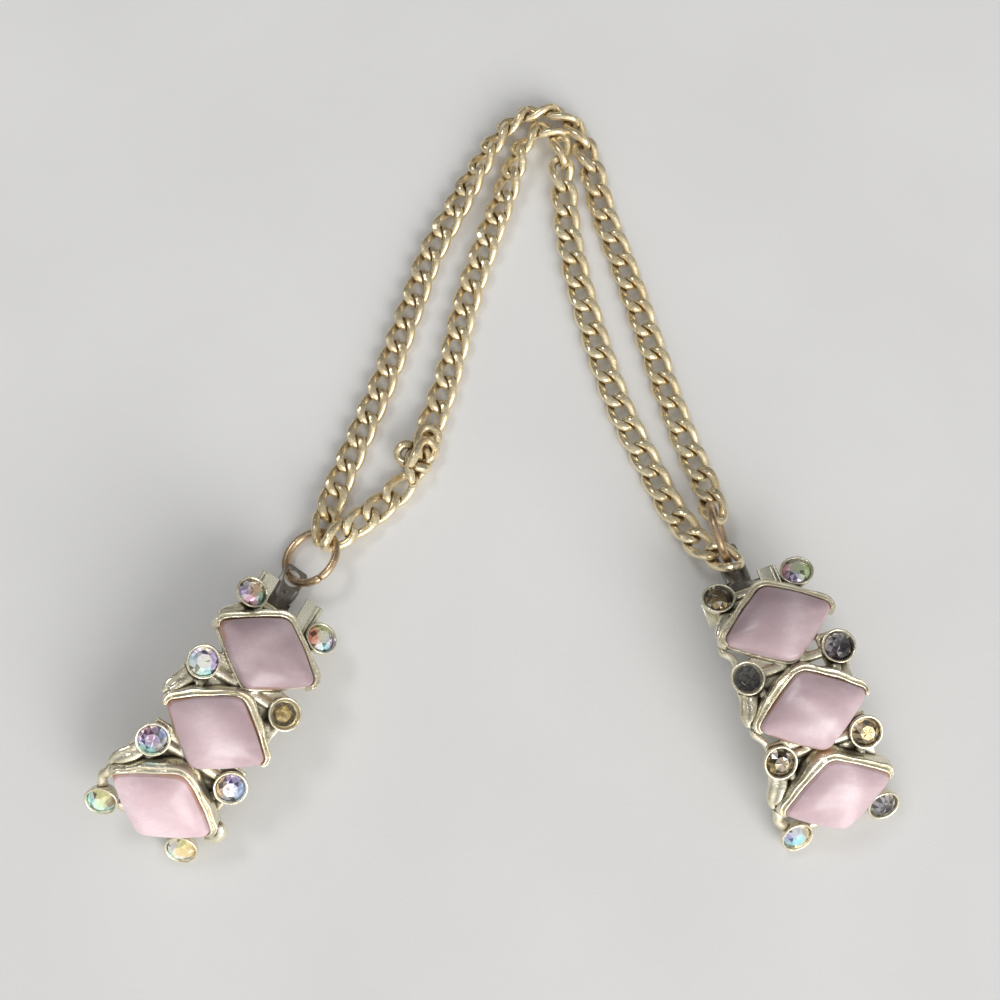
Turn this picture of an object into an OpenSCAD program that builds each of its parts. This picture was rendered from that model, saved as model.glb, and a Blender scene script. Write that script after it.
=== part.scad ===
// Sweater clip: two arched ornaments on sprung steel levers, joined by a double strand of curb chain.
// It lies on a flat surface as a wide upturned V, with a jump ring at each lever.

/* [Ornament] */
// Radius of the arch that the collet rims follow
arch_r = 30.3; // [30:0.1:30.6]
// Distance between two lozenge stones, along the arch
stone_step = 12.2; // [12.1:0.05:12.3]
// Half width of a lozenge stone
stone_a = 8.2; // [8.1:0.05:8.3]
// Half length of a lozenge stone
stone_b = 5.95; // [5.9:0.05:6]
// Outer diameter of a collet
collet_d = 4.7; // [4.6:0.05:4.8]
// Diameter of a rhinestone
gem_d = 3.8; // [3.7:0.05:3.85]

/* [Lever] */
// Thickness of the steel sheet
steel = 0.5; // [0.45:0.05:0.55]
// Width of the tail that carries the jump ring
tail_w = 3.5; // [3.4:0.1:3.8]
// Width of the toothed jaw
jaw_w = 6.8; // [6.4:0.1:7]
// Hole for the jump ring
ring_hole_d = 2.6; // [2.5:0.05:2.65]
// Diameter of the hinge pin
pin_d = 1.1; // [1:0.05:1.2]
// Running clearance on the pin, on each side
pin_gap = 0.04; // [0.02:0.01:0.06]

/* [Chain] */
// Outer diameter of a jump ring
ring_d = 9.4; // [9.3:0.05:9.5]
// Wire of a jump ring
ring_wire = 1.2; // [1.15:0.01:1.25]
// Wire of a curb link
link_wire = 0.98; // [0.96:0.01:1]
// Outer width of a curb link
link_w = 4.2; // [4.15:0.01:4.25]
// Half length of the line along the middle of a link's wire
link_a = 2.45; // [2.44:0.01:2.46]

/* [Hidden] */
SIDES = ["left", "right"];

fine = 64;
medium = 32;
slack = 0.05; // gap between pieces that only rest on each other
through = 0.1; // how far a cutter runs past a face

// Where each ornament lies: the middle of its first stone, its height, and its turn, pitch and roll
left_pose = [[-31.7, -24.7, 11.1], -25.4, -14, 24.1];
right_pose = [[37.65, -20.85, 11.9], 19.4, -9.5, 0];
// The middle of the whole outline, at the height of the surface it lies on, which becomes the origin
middle = [-0.42, 7.02, 0];

function pose(side) = side == "left" ? left_pose : right_pose;
function turn_z(a) = [[cos(a), -sin(a), 0], [sin(a), cos(a), 0], [0, 0, 1]];
function turn_x(a) = [[1, 0, 0], [0, cos(a), -sin(a)], [0, sin(a), cos(a)]];
function turn_y(a) = [[cos(a), 0, sin(a)], [0, 1, 0], [-sin(a), 0, cos(a)]];
function placed(p, v) = p[0] + turn_z(p[1]) * (turn_x(p[2]) * (turn_y(p[3]) * v));

module laid() translate(-middle) children();

// The ornament's own frame: x across, y toward the jump ring, z out of the first stone
module posed(side) {
  p = pose(side);
  laid() translate(p[0]) rotate([0, 0, p[1]]) rotate([p[2], 0, 0]) rotate([0, p[3], 0]) children();
}

function arch_angle(s) = s * 180 / (PI * arch_r);
module on_arch(s) translate([0, 0, -arch_r]) rotate([arch_angle(s), 0, 0]) translate([0, 0, arch_r]) children();

// Points of an outline with its corners rounded, a few points to each corner
function unit(v) = v / norm(v);
function corner(a, b, c, r, n) = let (
    ab = unit(a - b), cb = unit(c - b),
    half = acos(ab * cb) / 2,
    reach = r / tan(half),
    centre = b + unit(ab + cb) * r / sin(half),
    first = b + ab * reach - centre,
    swing = (180 - 2 * half) * sign(cross(ab, cb)))
  [for (i = [0 : n]) let (t = -swing * i / n)
    centre + [first[0] * cos(t) - first[1] * sin(t), first[0] * sin(t) + first[1] * cos(t)]];
function rounded(v, r, n) = [for (i = [0 : len(v) - 1])
  each corner(v[(i + len(v) - 1) % len(v)], v[i], v[(i + 1) % len(v)], r[i % len(r)], n)];
function lozenge(a, b, r) = rounded([[a, 0], [0, b], [-a, 0], [0, -b]], r, 4);
function more(r, d) = [for (x = r) x + d];

// A solid through rings of points that all have the same count
module loft(rings) {
  n = len(rings[0]);
  last = len(rings) - 1;
  sides = [for (j = [0 : last - 1]) for (i = [0 : n - 1]) let (k = (i + 1) % n)
    [j * n + i, (j + 1) * n + i, (j + 1) * n + k, j * n + k]];
  polyhedron([for (r = rings) each r],
    concat([[for (i = [0 : n - 1]) i]], sides, [[for (i = [n - 1 : -1 : 0]) last * n + i]]));
}

// Heights in a clip's own frame, counted from the arch of the collet rims
seat_h = -0.9; // top of the metal under a lozenge stone
back_h = -1.9; // back of the casting
girdle_h = 0.6; // widest line of a lozenge stone
rim_h = 1.15; // top of the V wall
wall = 0.75; // thickness of the V wall
stone_round = [0.5, 1.3]; // rounding of its side corners, and of its upper and lower ones

// Lozenge stone: a pillow with a bevel round its edge, as scale and height of each ring
stone_rings = [[0.9, seat_h + slack], [0.97, -0.3], [1, girdle_h], [0.93, 1.3],
  [0.75, 2.1], [0.5, 2.6], [0.22, 2.85]];
module lozenge_stone() {
  outline = lozenge(stone_a, stone_b, stone_round);
  loft([for (r = stone_rings) [for (p = outline) [p[0] * r[0], p[1] * r[0], r[1]]]]);
}

// Rows of collets: place along the arch and distance from the middle line
rows = [[-6.7, 5.8], [5.4, 6.6], [17.6, 6.2], [29.8, 6.4]];
function collet_row(i) = rows[floor((i - 1) / 2)];
function collet_side(i) = i % 2 == 1 ? -1 : 1;
module at_collet(i) on_arch(collet_row(i)[0]) translate([collet_side(i) * collet_row(i)[1], 0, 0]) children();

collet_h = 2.25;
collet_foot_r = 1.45;
collet_lip = 0.3;
cone_h = 1.7; // depth of the cup's floor
cone_r = 0.6;
girdle_drop = 0.45; // depth of a rhinestone's widest line
module collet() rotate_extrude($fn = fine)
  polygon([[0, -collet_h], [collet_foot_r, -collet_h], [collet_d / 2, -0.6], [collet_d / 2, 0], [0, 0]]);
module cup() rotate_extrude($fn = fine)
  polygon([[0, -cone_h], [cone_r, -cone_h], [gem_d / 2 + slack, -girdle_drop],
    [collet_d / 2 - collet_lip, 0], [collet_d / 2 - collet_lip, 1], [0, 1]]);

table_r = 1.05;
crown_h = 0.55;
culet_r = 0.4;
module rhinestone() rotate_extrude($fn = fine)
  polygon([[0, -cone_h + 0.2], [culet_r, -cone_h + 0.2], [gem_d / 2 - slack, -girdle_drop + slack],
    [gem_d / 2 - slack, -girdle_drop + 0.2], [table_r, crown_h], [0, crown_h]]);

// Seat of one lozenge stone: a floor with a window in it, and a wall along the two upper edges
module stone_seat() {
  floor_h = seat_h - back_h;
  translate([0, 0, back_h]) linear_extrude(floor_h) difference() {
    polygon(lozenge(stone_a - 0.5, stone_b - 0.35, stone_round));
    polygon(lozenge(stone_a - 3.2, stone_b - 2.3, stone_round));
  }
  translate([0, 0, back_h]) linear_extrude(rim_h - back_h) difference() {
    polygon(lozenge(stone_a + 1.6 * wall, stone_b + 1.2 * wall, more(stone_round, wall)));
    polygon(lozenge(stone_a + slack, stone_b + slack, stone_round));
    translate([-2 * stone_a, -2 * stone_b - 0.4]) square([4 * stone_a, 2 * stone_b]);
  }
}

// Cast bars on the back: one along the middle, one across each row of collets
bar_w = 1.5;
bar_h = 1.1;
module long_bar() {
  first = arch_angle(rows[0][0]);
  last = arch_angle(rows[3][0]);
  translate([-bar_w, 0, -arch_r]) rotate([90, 0, 90]) rotate([0, 0, 90 + first])
    rotate_extrude(angle = last - first, $fn = 200) translate([arch_r + back_h, 0]) square([bar_h, 2 * bar_w]);
}
module cross_bar(i) on_arch(rows[i][0])
  translate([-rows[i][1], -bar_w / 2, back_h]) cube([2 * rows[i][1], bar_w, bar_h]);

// Arms from each pair of collets to the side corners of the stone below them
arm_w = 1.5;
arm_h = 1.2;
module arm(i, side) {
  run = i * stone_step - rows[i][0];
  reach = stone_a - 0.2 - rows[i][1];
  on_arch((rows[i][0] + i * stone_step) / 2) translate([side * (rows[i][1] + stone_a - 0.2) / 2, 0, back_h + 0.2])
    rotate([0, 0, side * atan2(reach, run)]) translate([-arm_w / 2, -norm([run, reach]) / 2, 0])
      cube([arm_w, norm([run, reach]), arm_h]);
}

// Hinge bracket under the upper end, soldered to the casting: a plate and two folded ears
hinge_x = -1; // the lever's middle line
pin_y = 6.2;
pin_z = -4.7;
ear_in = 3.95; // inner face of an ear, from the lever's middle line
ear_t = 0.95;
ear_y = [2.9, 10.6];
ear_foot = -6.3;
ear_top = -1.5;
module bracket() translate([hinge_x, 0, 0]) difference() {
  union() {
    translate([-ear_in - ear_t, 0.5, -2.5]) cube([2 * (ear_in + ear_t), 5, 0.9]);
    for (s = [-1, 1]) translate([s * (ear_in + ear_t / 2) - ear_t / 2, ear_y[0], ear_foot])
      cube([ear_t, ear_y[1] - ear_y[0], ear_top - ear_foot]);
  }
  translate([-ear_in - 1.5, pin_y, pin_z]) rotate([0, 90, 0]) cylinder(d = pin_d, h = 2 * ear_in + 3, $fn = fine);
}

module setting(side) color("palegoldenrod") posed(side) {
  for (i = [0 : 2]) on_arch(i * stone_step) stone_seat();
  difference() {
    union() {
      for (i = [1 : 8]) at_collet(i) collet();
      for (i = [0 : 3]) cross_bar(i);
      for (i = [0 : 2]) for (s = [-1, 1]) arm(i, s);
      long_bar();
      bracket();
    }
    for (i = [1 : 8]) at_collet(i) cup();
    for (i = [0 : 2]) on_arch(i * stone_step) translate([0, 0, seat_h]) linear_extrude(3)
      polygon(lozenge(stone_a + slack, stone_b + slack, stone_round));
  }
}

pin_l = 2 * (ear_in + ear_t) + 0.6;
module hinge_pin(side) color("silver") posed(side)
  translate([hinge_x - pin_l / 2, pin_y, pin_z]) rotate([0, 90, 0]) cylinder(d = pin_d, h = pin_l, $fn = fine);

// Steel lever: a tail with the ring's hole, lugs on the pin, and a jaw that ends in teeth
tail_z = -6.2; // top face of the tail
tail_y = [7.6, 15.4];
hole_y = 13.75;
tail_edge_y = 9.8; // where the upturned edges of the tail begin
jaw_end = [-9, -4.3]; // y and z of the jaw's top face at its teeth
lug_t = 0.6;
lug_in = jaw_w / 2 - lug_t;
lug_r = 1.15;
tooth_count = 5;
tooth_h = 0.75;
module lever_plate() {
  run = tail_y[0] - jaw_end[0];
  rise = jaw_end[1] - tail_z;
  slope = atan2(rise, run);
  // tail, with its end corners clipped by the outline
  translate([0, 0, tail_z - steel]) linear_extrude(steel)
    polygon([[-tail_w / 2, tail_y[0]], [tail_w / 2, tail_y[0]], [tail_w / 2, tail_y[1] - 0.3],
      [tail_w / 2 - 0.3, tail_y[1]], [-tail_w / 2 + 0.3, tail_y[1]], [-tail_w / 2, tail_y[1] - 0.3]]);
  // jaw, sloping up to the back of the casting
  translate([-jaw_w / 2, tail_y[0] + 1.6, tail_z]) rotate([-slope, 0, 0])
    translate([0, -(run + 1.6) / cos(slope), -steel]) cube([jaw_w, (run + 1.6) / cos(slope), steel]);
  // teeth, folded up at the jaw's end
  for (i = [0 : tooth_count - 1])
    translate([(i + 0.5) * jaw_w / tooth_count - jaw_w / 2, jaw_end[0] + 0.3, jaw_end[1] - 0.3])
      rotate([90, 0, 0]) linear_extrude(steel, center = true)
        polygon([[-0.6, 0], [0.6, 0], [0, 0.3 + tooth_h]]);
}
module lever(side) color("dimgray") posed(side) translate([hinge_x, 0, 0]) difference() {
  union() {
    lever_plate();
    // upturned edges of the tail
    for (s = [-1, 1]) translate([s * (tail_w / 2 - steel / 2) - steel / 2, tail_edge_y, tail_z - steel])
      cube([steel, 2.4, steel + 0.5]);
    for (s = [-1, 1]) translate([s * (lug_in + lug_t / 2) - lug_t / 2, pin_y, pin_z]) rotate([0, 90, 0]) {
      cylinder(r = lug_r, h = lug_t, $fn = fine);
      translate([0, -lug_r, 0]) cube([-tail_z + pin_z + 0.1, 2 * lug_r, lug_t]);
    }
  }
  translate([0, hole_y, tail_z - steel - through]) cylinder(d = ring_hole_d, h = steel + 2 * through, $fn = fine);
  // two dimples on the tail
  translate([0, 11.5, tail_z + 0.3]) sphere(r = 0.5, $fn = medium);
  translate([-0.1, 9.6, tail_z + 0.3]) sphere(r = 0.4, $fn = medium);
  translate([-lug_in - 1.5, pin_y, pin_z]) rotate([0, 90, 0])
    cylinder(d = pin_d + 2 * pin_gap, h = 2 * lug_in + 3, $fn = fine);
}

// Spring round the pin, as a plain tube, with one leg down to the lever
spring_r = 1.05;
spring_l = 4.4;
spring_wire = 0.4;
leg_foot = -5.6; // just above the jaw
module spring(side) color("gray") posed(side) translate([hinge_x, pin_y, pin_z]) difference() {
  union() {
    translate([-spring_l / 2, 0, 0]) rotate([0, 90, 0]) cylinder(r = spring_r, h = spring_l, $fn = fine);
    translate([-spring_l / 2, -spring_r, leg_foot - pin_z]) cube([spring_wire, spring_wire, 1.3]);
  }
  translate([-spring_l, 0, 0]) rotate([0, 90, 0]) cylinder(d = pin_d + 4 * pin_gap, h = 2 * spring_l, $fn = fine);
}

// Jump rings: each passes the hole of its lever's tail, and its middle lies off the hole by its own radius
ring_r = (ring_d - ring_wire) / 2;
// Where the wire crosses the hole along the tail; turn and rise of the line from there to the ring's
// middle; and the ring's lean about that line
left_ring = [-0.1, 50, 3, -28];
right_ring = [-0.3, 112, 24, 72];
function ring_pose(side) = side == "left" ? left_ring : right_ring;
module at_ring(side) {
  r = ring_pose(side);
  laid() translate(placed(pose(side), [hinge_x, hole_y + r[0], tail_z - steel / 2]))
    rotate([0, 0, r[1]]) rotate([0, -r[2], 0]) rotate([r[3], 0, 0]) translate([ring_r, 0, 0]) children();
}
module jump_ring(side) color("tan") at_ring(side)
  rotate_extrude($fn = fine) translate([ring_r, 0]) circle(d = ring_wire, $fn = medium);

// Routes of the two strands from the left ring to the right one:
// x, y, lift off the surface and roll of the links
outer_route = [
  [-25.6, -4.6, 0.1, 44], [-24.2, 0.6, 0, 12], [-22.8, 4.3, 0, 0], [-20.5, 10.2, 0, 0], [-17.9, 16.8, 0, 0], [-15.3, 24.5, 0, 0],
  [-12.9, 32, 0, 0], [-10.6, 38.9, 0, 0], [-7, 46, 0, 10], [-4.8, 50.3, 0, 20], [-2.5, 54.8, 0, 32],
  [-0.5, 58.6, 0, 40], [2, 61.8, 0, 45], [4.9, 63.7, 0, 45], [7.9, 63.9, 0, 45],
  [10.7, 62.3, 0, 45], [12.5, 59.5, 0, 40], [13.5, 56.3, 0, 30], [14.3, 52.9, 0, 15], [16.1, 45.3, 0, 0],
  [18.6, 37.7, 0, 0], [20.9, 30.2, 0, 0], [23.3, 22.1, 0, 0], [25.5, 14.5, 0, 0], [28.2, 6.7, 0, 0],
  [29.7, 2.6, 0.7, 0], [30.7, -2.1, 2.3, 5]];
inner_route = [
  [-23.3, -6.3, 1.1, 46], [-18.6, -2.4, 0.1, 10], [-15.2, 0.8, 0, 0], [-12.8, 3.8, 0, 0], [-11.4, 7.1, 0, 0], [-10.6, 10.5, 0, 0],
  [-9.3, 13.8, 0, 0], [-7.2, 21.4, 0, 0], [-5.6, 28.8, 0, 0], [-3.3, 36.9, 0, 0], [-0.4, 45.3, 0, 10],
  [0.9, 49.2, 0, 20], [1.9, 52.3, 0, 32], [2.9, 55.2, 0, 40], [4.3, 57.7, 0, 45], [6.1, 59.1, 0, 45],
  [8, 59, 0, 45], [9.3, 57.4, 0, 45], [9.7, 55.1, 0, 40], [9.5, 53, 0, 30], [9.8, 50.2, 0, 15],
  [10.4, 43, 0, 0], [11.7, 35.3, 0, 0], [13.6, 27.7, 0, 0], [15.7, 20.3, 0, 0], [18.2, 12.9, 0, 0],
  [21.5, 5.8, 0, 0], [24.8, -1.3, 0.25, 0], [26.7, -4.6, 1.1, 0], [28.5, -7.6, 2.6, 0], [31.7, -10, 4.2, 0]];
outer_count = 38;
inner_count = 39;

link_b = (link_w - link_wire) / 2;
link_c = 0.5; // how far a link's wire swings over and under its middle plane
link_steps = 12;
wire_sides = 6;

// A smooth curve through the route's rows, with the lift turned into a height
floor_gap = 0.02;
function height(lift, roll) = link_wire / 2 + link_b * abs(sin(roll)) + link_c * cos(roll) + floor_gap + lift;
function between(p0, p1, p2, p3, t) = 0.5 * (2 * p1 + (p2 - p0) * t
  + (2 * p0 - 5 * p1 + 4 * p2 - p3) * t * t + (3 * p1 - p0 - 3 * p2 + p3) * t * t * t);
function curve(r, n) = concat([for (i = [0 : len(r) - 2]) for (k = [0 : n - 1])
  between(r[max(i - 1, 0)], r[i], r[i + 1], r[min(i + 2, len(r) - 1)], k / n)], [r[len(r) - 1]]);
function raised(p) = [for (q = p) [q[0], q[1], height(q[2], q[3]), q[3]]];
function xyz(q) = [q[0], q[1], q[2]];
function sums(p, i = 0, s = 0) = i >= len(p) ? [] :
  concat([s], sums(p, i + 1, i + 1 < len(p) ? s + norm(xyz(p[i + 1]) - xyz(p[i])) : s));
function before(l, s, i = 0) = i >= len(l) - 2 || l[i + 1] > s ? i : before(l, s, i + 1);
function along(p, l, s) = let (i = before(l, s)) p[i] + (p[i + 1] - p[i]) * (s - l[i]) / (l[i + 1] - l[i]);

// A curb link: an oval of wire whose two sides swing over and under, so that it locks into the next
module curb_link() {
  points = [for (i = [0 : link_steps - 1]) let (
      t = 360 * i / link_steps,
      c = [link_a * cos(t), link_b * sin(t), -link_c * sin(2 * t)],
      d = [-link_a * sin(t), link_b * cos(t), -2 * link_c * cos(2 * t)],
      e1 = unit(cross(d, [0, 0, 1])),
      e2 = unit(cross(e1, d)))
    for (k = [0 : wire_sides - 1]) let (a = 360 * (k + 0.5) / wire_sides)
      c + link_wire / 2 * (cos(a) * e1 + sin(a) * e2)];
  faces = [for (i = [0 : link_steps - 1]) for (k = [0 : wire_sides - 1]) let (
      j = (i + 1) % link_steps, m = (k + 1) % wire_sides)
    each [[i * wire_sides + k, i * wire_sides + m, j * wire_sides + m],
      [i * wire_sides + k, j * wire_sides + m, j * wire_sides + k]]];
  polyhedron(points, faces);
}

// Links of a strand from the one numbered first to the one numbered last
half_shift = 0.25; // the right half starts this much closer, so that the halves hang loose in each other
module chain(route, count, first, last) {
  path = raised(curve(route, 8));
  lengths = sums(path);
  total = lengths[len(lengths) - 1];
  start = first == 0 ? 0 : total * first / (count - 1) - half_shift;
  pitch = first == 0 ? total / (count - 1) : (total - start) / (last - first);
  color("goldenrod") laid() for (i = [first : last]) {
    s = start + pitch * (i - first);
    here = along(path, lengths, s);
    ahead = xyz(along(path, lengths, min(s + 0.5, total))) - xyz(along(path, lengths, max(s - 0.5, 0)));
    translate(xyz(here)) rotate([0, 0, atan2(ahead[1], ahead[0])])
      rotate([0, -atan2(ahead[2], norm([ahead[0], ahead[1]])), 0]) rotate([here[3], 0, 0]) curb_link();
  }
}

left_links = 15; // links of each strand in its left half
chain(outer_route, outer_count, 0, left_links - 1);  // outer_chain_left
chain(outer_route, outer_count, left_links, outer_count - 1);  // outer_chain_right
chain(inner_route, inner_count, 0, left_links - 1);  // inner_chain_left
chain(inner_route, inner_count, left_links, inner_count - 1);  // inner_chain_right

for (side = SIDES) {
  setting(side);
  for (i = [1 : 3]) color("pink") posed(side) on_arch((i - 1) * stone_step) lozenge_stone();
  for (i = [1 : 8]) if (i != (side == "left" ? 4 : 3))
    color("lavender") posed(side) at_collet(i) rhinestone();
  hinge_pin(side);
  lever(side);
  spring(side);
  jump_ring(side);
}
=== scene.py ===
import math
import bpy
import bmesh
import numpy as np
from mathutils import Matrix, Vector, noise
from mathutils.bvhtree import BVHTree


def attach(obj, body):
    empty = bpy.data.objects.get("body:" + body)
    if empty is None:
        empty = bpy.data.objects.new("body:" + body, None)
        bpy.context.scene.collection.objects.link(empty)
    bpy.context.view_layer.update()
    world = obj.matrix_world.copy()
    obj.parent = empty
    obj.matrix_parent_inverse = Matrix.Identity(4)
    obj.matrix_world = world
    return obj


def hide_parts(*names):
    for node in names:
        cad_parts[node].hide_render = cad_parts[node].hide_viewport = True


# Sweater clip: two stone-set ornaments on sprung steel clips, joined by a double curb chain.
# Lengths in the dictionaries are millimetres, in each ornament's own frame unless a note says otherwise:
# x across, y toward the jump ring, z out of the first stone.

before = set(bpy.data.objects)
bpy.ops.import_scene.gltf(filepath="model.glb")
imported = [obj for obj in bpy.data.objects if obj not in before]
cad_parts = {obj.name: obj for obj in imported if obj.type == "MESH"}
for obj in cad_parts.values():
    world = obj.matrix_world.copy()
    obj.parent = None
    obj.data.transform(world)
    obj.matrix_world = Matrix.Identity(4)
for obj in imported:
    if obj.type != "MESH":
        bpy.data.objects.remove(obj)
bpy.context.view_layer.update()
mm = 0.001
rng = np.random.default_rng(7)
noise.seed_set(7)    # without it the hammered surface would differ from run to run
sides = ("left", "right")
chainBody = "levers_and_chain"


def ornamentBody(side):
    return side + "_ornament"


# ---- where things lie, the same numbers as in the CAD source

layout = {
    "left": ((-31.7, -24.7, 11.1), -25.4, -14.0, 24.1),   # middle of the first stone, turn, pitch, roll
    "right": ((37.65, -20.85, 11.9), 19.4, -9.5, 0.0),
    "middle": (-0.42, 7.02, 0.0),
    "archRadius": 30.3,
    "stoneStep": 12.2,
    "rows": ((-6.7, 5.8), (5.4, 6.6), (17.6, 6.2), (29.8, 6.4)),   # along the arch, out from the middle line
}


def rotationOf(axes, *degrees):
    turns = [Matrix.Rotation(math.radians(angle), 3, axis) for axis, angle in zip(axes, degrees)]
    return np.array(turns[0] @ turns[1] @ turns[2])


def toFrame(side, points):
    place, turn, pitch, roll = layout[side]
    turned = np.asarray(points, float) @ rotationOf("ZXY", turn, pitch, roll).T
    return (turned + np.array(place) - np.array(layout["middle"])) * mm


def onArch(along, points):
    radius = layout["archRadius"]
    angle = along / radius
    p = np.asarray(points, float)
    lifted = p[:, 2] + radius
    return np.column_stack((p[:, 0], p[:, 1] * math.cos(angle) - lifted * math.sin(angle),
                            p[:, 1] * math.sin(angle) + lifted * math.cos(angle) - radius))


def archPoint(along, x, height):
    return onArch(along, [(x, 0.0, height)])[0]


def bentOver(points):
    # points given as x, distance along the arch, height over it
    p = np.asarray(points, float)
    radius = layout["archRadius"]
    angle, lifted = p[:, 1] / radius, p[:, 2] + radius
    return np.column_stack((p[:, 0], -lifted * np.sin(angle), lifted * np.cos(angle) - radius))


def smoothRun(knots, fine=6):
    # a soft curve through given points, all their numbers together
    rows = np.array(knots, float)
    curve = []
    for i in range(len(rows) - 1):
        p0, p1, p2, p3 = rows[max(i - 1, 0)], rows[i], rows[i + 1], rows[min(i + 2, len(rows) - 1)]
        for k in range(fine):
            t = k / fine
            curve.append(0.5 * (2 * p1 + (p2 - p0) * t + (2 * p0 - 5 * p1 + 4 * p2 - p3) * t ** 2
                                + (3 * p1 - p0 - 3 * p2 + p3) * t ** 3))
    curve.append(rows[-1])
    return np.array(curve)


def colletPlace(number):
    along, out = layout["rows"][(number - 1) // 2]
    return along, (-out if number % 2 else out)


# ---- mesh helpers: a shape is (points, faces)

def joined(shapes):
    points, faces, start = [], [], 0
    for p, f in shapes:
        points.append(np.asarray(p, float))
        faces += [tuple(i + start for i in face) for face in f]
        start += len(p)
    return np.vstack(points), faces


def loft(rings, closed=False):
    n = len(rings[0])
    faces = []
    pairs = len(rings) if closed else len(rings) - 1
    for j in range(pairs):
        a, b = j * n, ((j + 1) % len(rings)) * n
        faces += [(a + i, a + (i + 1) % n, b + (i + 1) % n, b + i) for i in range(n)]
    if not closed:
        faces.append(tuple(range(n - 1, -1, -1)))
        faces.append(tuple((len(rings) - 1) * n + i for i in range(n)))
    return np.vstack(rings), faces


def atHeight(flat, height):
    return np.column_stack((flat, np.full(len(flat), height)))


def lathe(profile, segments):
    angles = np.linspace(0, 2 * math.pi, segments, endpoint=False)
    return loft([np.column_stack((r * np.cos(angles), r * np.sin(angles), np.full(segments, z)))
                 for r, z in profile])


def sweep(path, sizes, sides=12, closed=False, up=(0, 0, 1)):
    # sizes: half width and half height at each point, or one pair for all
    path = np.asarray(path, float)
    count = len(path)
    if np.ndim(sizes) == 1:
        sizes = [sizes] * count
    angles = np.linspace(0, 2 * math.pi, sides, endpoint=False)
    rings = []
    for i in range(count):
        ahead = path[(i + 1) % count] if closed or i + 1 < count else path[i]
        behind = path[i - 1] if closed or i > 0 else path[i]
        t = (ahead - behind) / max(np.linalg.norm(ahead - behind), 1e-9)
        across = np.cross(t, up)
        across /= max(np.linalg.norm(across), 1e-9)
        over = np.cross(across, t)
        rings.append(path[i] + np.outer(np.cos(angles) * sizes[i][0], across)
                     + np.outer(np.sin(angles) * sizes[i][1], over))
    return loft(rings, closed)


def boxShape(low, high):
    (x0, y0, z0), (x1, y1, z1) = low, high
    points = [(x0, y0, z0), (x1, y0, z0), (x1, y1, z0), (x0, y1, z0),
              (x0, y0, z1), (x1, y0, z1), (x1, y1, z1), (x0, y1, z1)]
    faces = [(0, 3, 2, 1), (4, 5, 6, 7), (0, 1, 5, 4), (1, 2, 6, 5), (2, 3, 7, 6), (3, 0, 4, 7)]
    return np.array(points, float), faces


def wobble(points, amount, scale, seed=0.0):
    # hand-worked metal is never quite true: points in millimetres are pushed by soft noise
    moved = np.array(points, float)
    for i, p in enumerate(points):
        v = noise.noise_vector(Vector(p) * scale + Vector((seed, seed * 1.7, -seed)))
        moved[i] += np.array(v) * amount
    return moved


def linked(name, data):
    obj = bpy.data.objects.new(name, data)
    bpy.context.scene.collection.objects.link(obj)
    return obj


def newObject(name, points, faces, smoothAngle=40):
    mesh = bpy.data.meshes.new(name)
    mesh.from_pydata([tuple(p) for p in points], [], [tuple(f) for f in faces])
    mesh.update()
    tool = bmesh.new()
    tool.from_mesh(mesh)
    bmesh.ops.recalc_face_normals(tool, faces=tool.faces)
    tool.to_mesh(mesh)
    tool.free()
    return softened(linked(name, mesh), smoothAngle)


def softened(obj, smoothAngle):
    for face in obj.data.polygons:
        face.use_smooth = True
    obj.data.set_sharp_from_angle(angle=math.radians(smoothAngle))
    return obj


def baked(obj):
    # modifiers become plain mesh
    graph = bpy.context.evaluated_depsgraph_get()
    mesh = bpy.data.meshes.new_from_object(obj.evaluated_get(graph), depsgraph=graph)
    obj.modifiers.clear()
    old = obj.data
    obj.data = mesh
    mesh.name = obj.name
    bpy.data.meshes.remove(old)
    return obj


def bevelled(obj, width, segments, angle):
    bevel = obj.modifiers.new("edge", "BEVEL")
    bevel.width = width * mm
    bevel.segments = segments
    bevel.limit_method = "ANGLE"
    bevel.angle_limit = math.radians(angle)
    return baked(obj)


def merged(name, parts):
    # several objects become one; sharp edges stay as they are
    tool = bmesh.new()
    for part in parts:
        tool.from_mesh(part.data)
        bpy.data.meshes.remove(part.data)
    mesh = bpy.data.meshes.new(name)
    tool.to_mesh(mesh)
    tool.free()
    return linked(name, mesh)


def nodeCopy(node, name, edge, smoothAngle=30):
    # a copy of a CAD node with its flat faces whole again and its edges rounded by a hair
    near, flat, bevelFrom = 2e-6, math.radians(0.6), 35
    tool = bmesh.new()
    tool.from_mesh(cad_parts[node].data)
    bmesh.ops.remove_doubles(tool, verts=tool.verts, dist=near)
    bmesh.ops.dissolve_limit(tool, angle_limit=flat, verts=tool.verts, edges=tool.edges)
    bmesh.ops.recalc_face_normals(tool, faces=tool.faces)
    mesh = bpy.data.meshes.new(name)
    tool.to_mesh(mesh)
    tool.free()
    return softened(bevelled(linked(name, mesh), edge, 2, bevelFrom), smoothAngle)


def store(mesh, name, values, kind="FLOAT", domain="POINT"):
    layer = mesh.attributes.new(name, kind, domain)
    key = {"FLOAT": "value", "FLOAT_VECTOR": "vector", "FLOAT_COLOR": "color"}[kind]
    layer.data.foreach_set(key, np.asarray(values, np.float32).ravel())


def fitted(obj, material, body, slot, *nodes):
    # a finished piece gets its material, rides with its body and stands for its CAD nodes
    if material:
        obj.data.materials.append(material)
    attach(obj, body)
    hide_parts(*nodes)
    return obj


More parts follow.
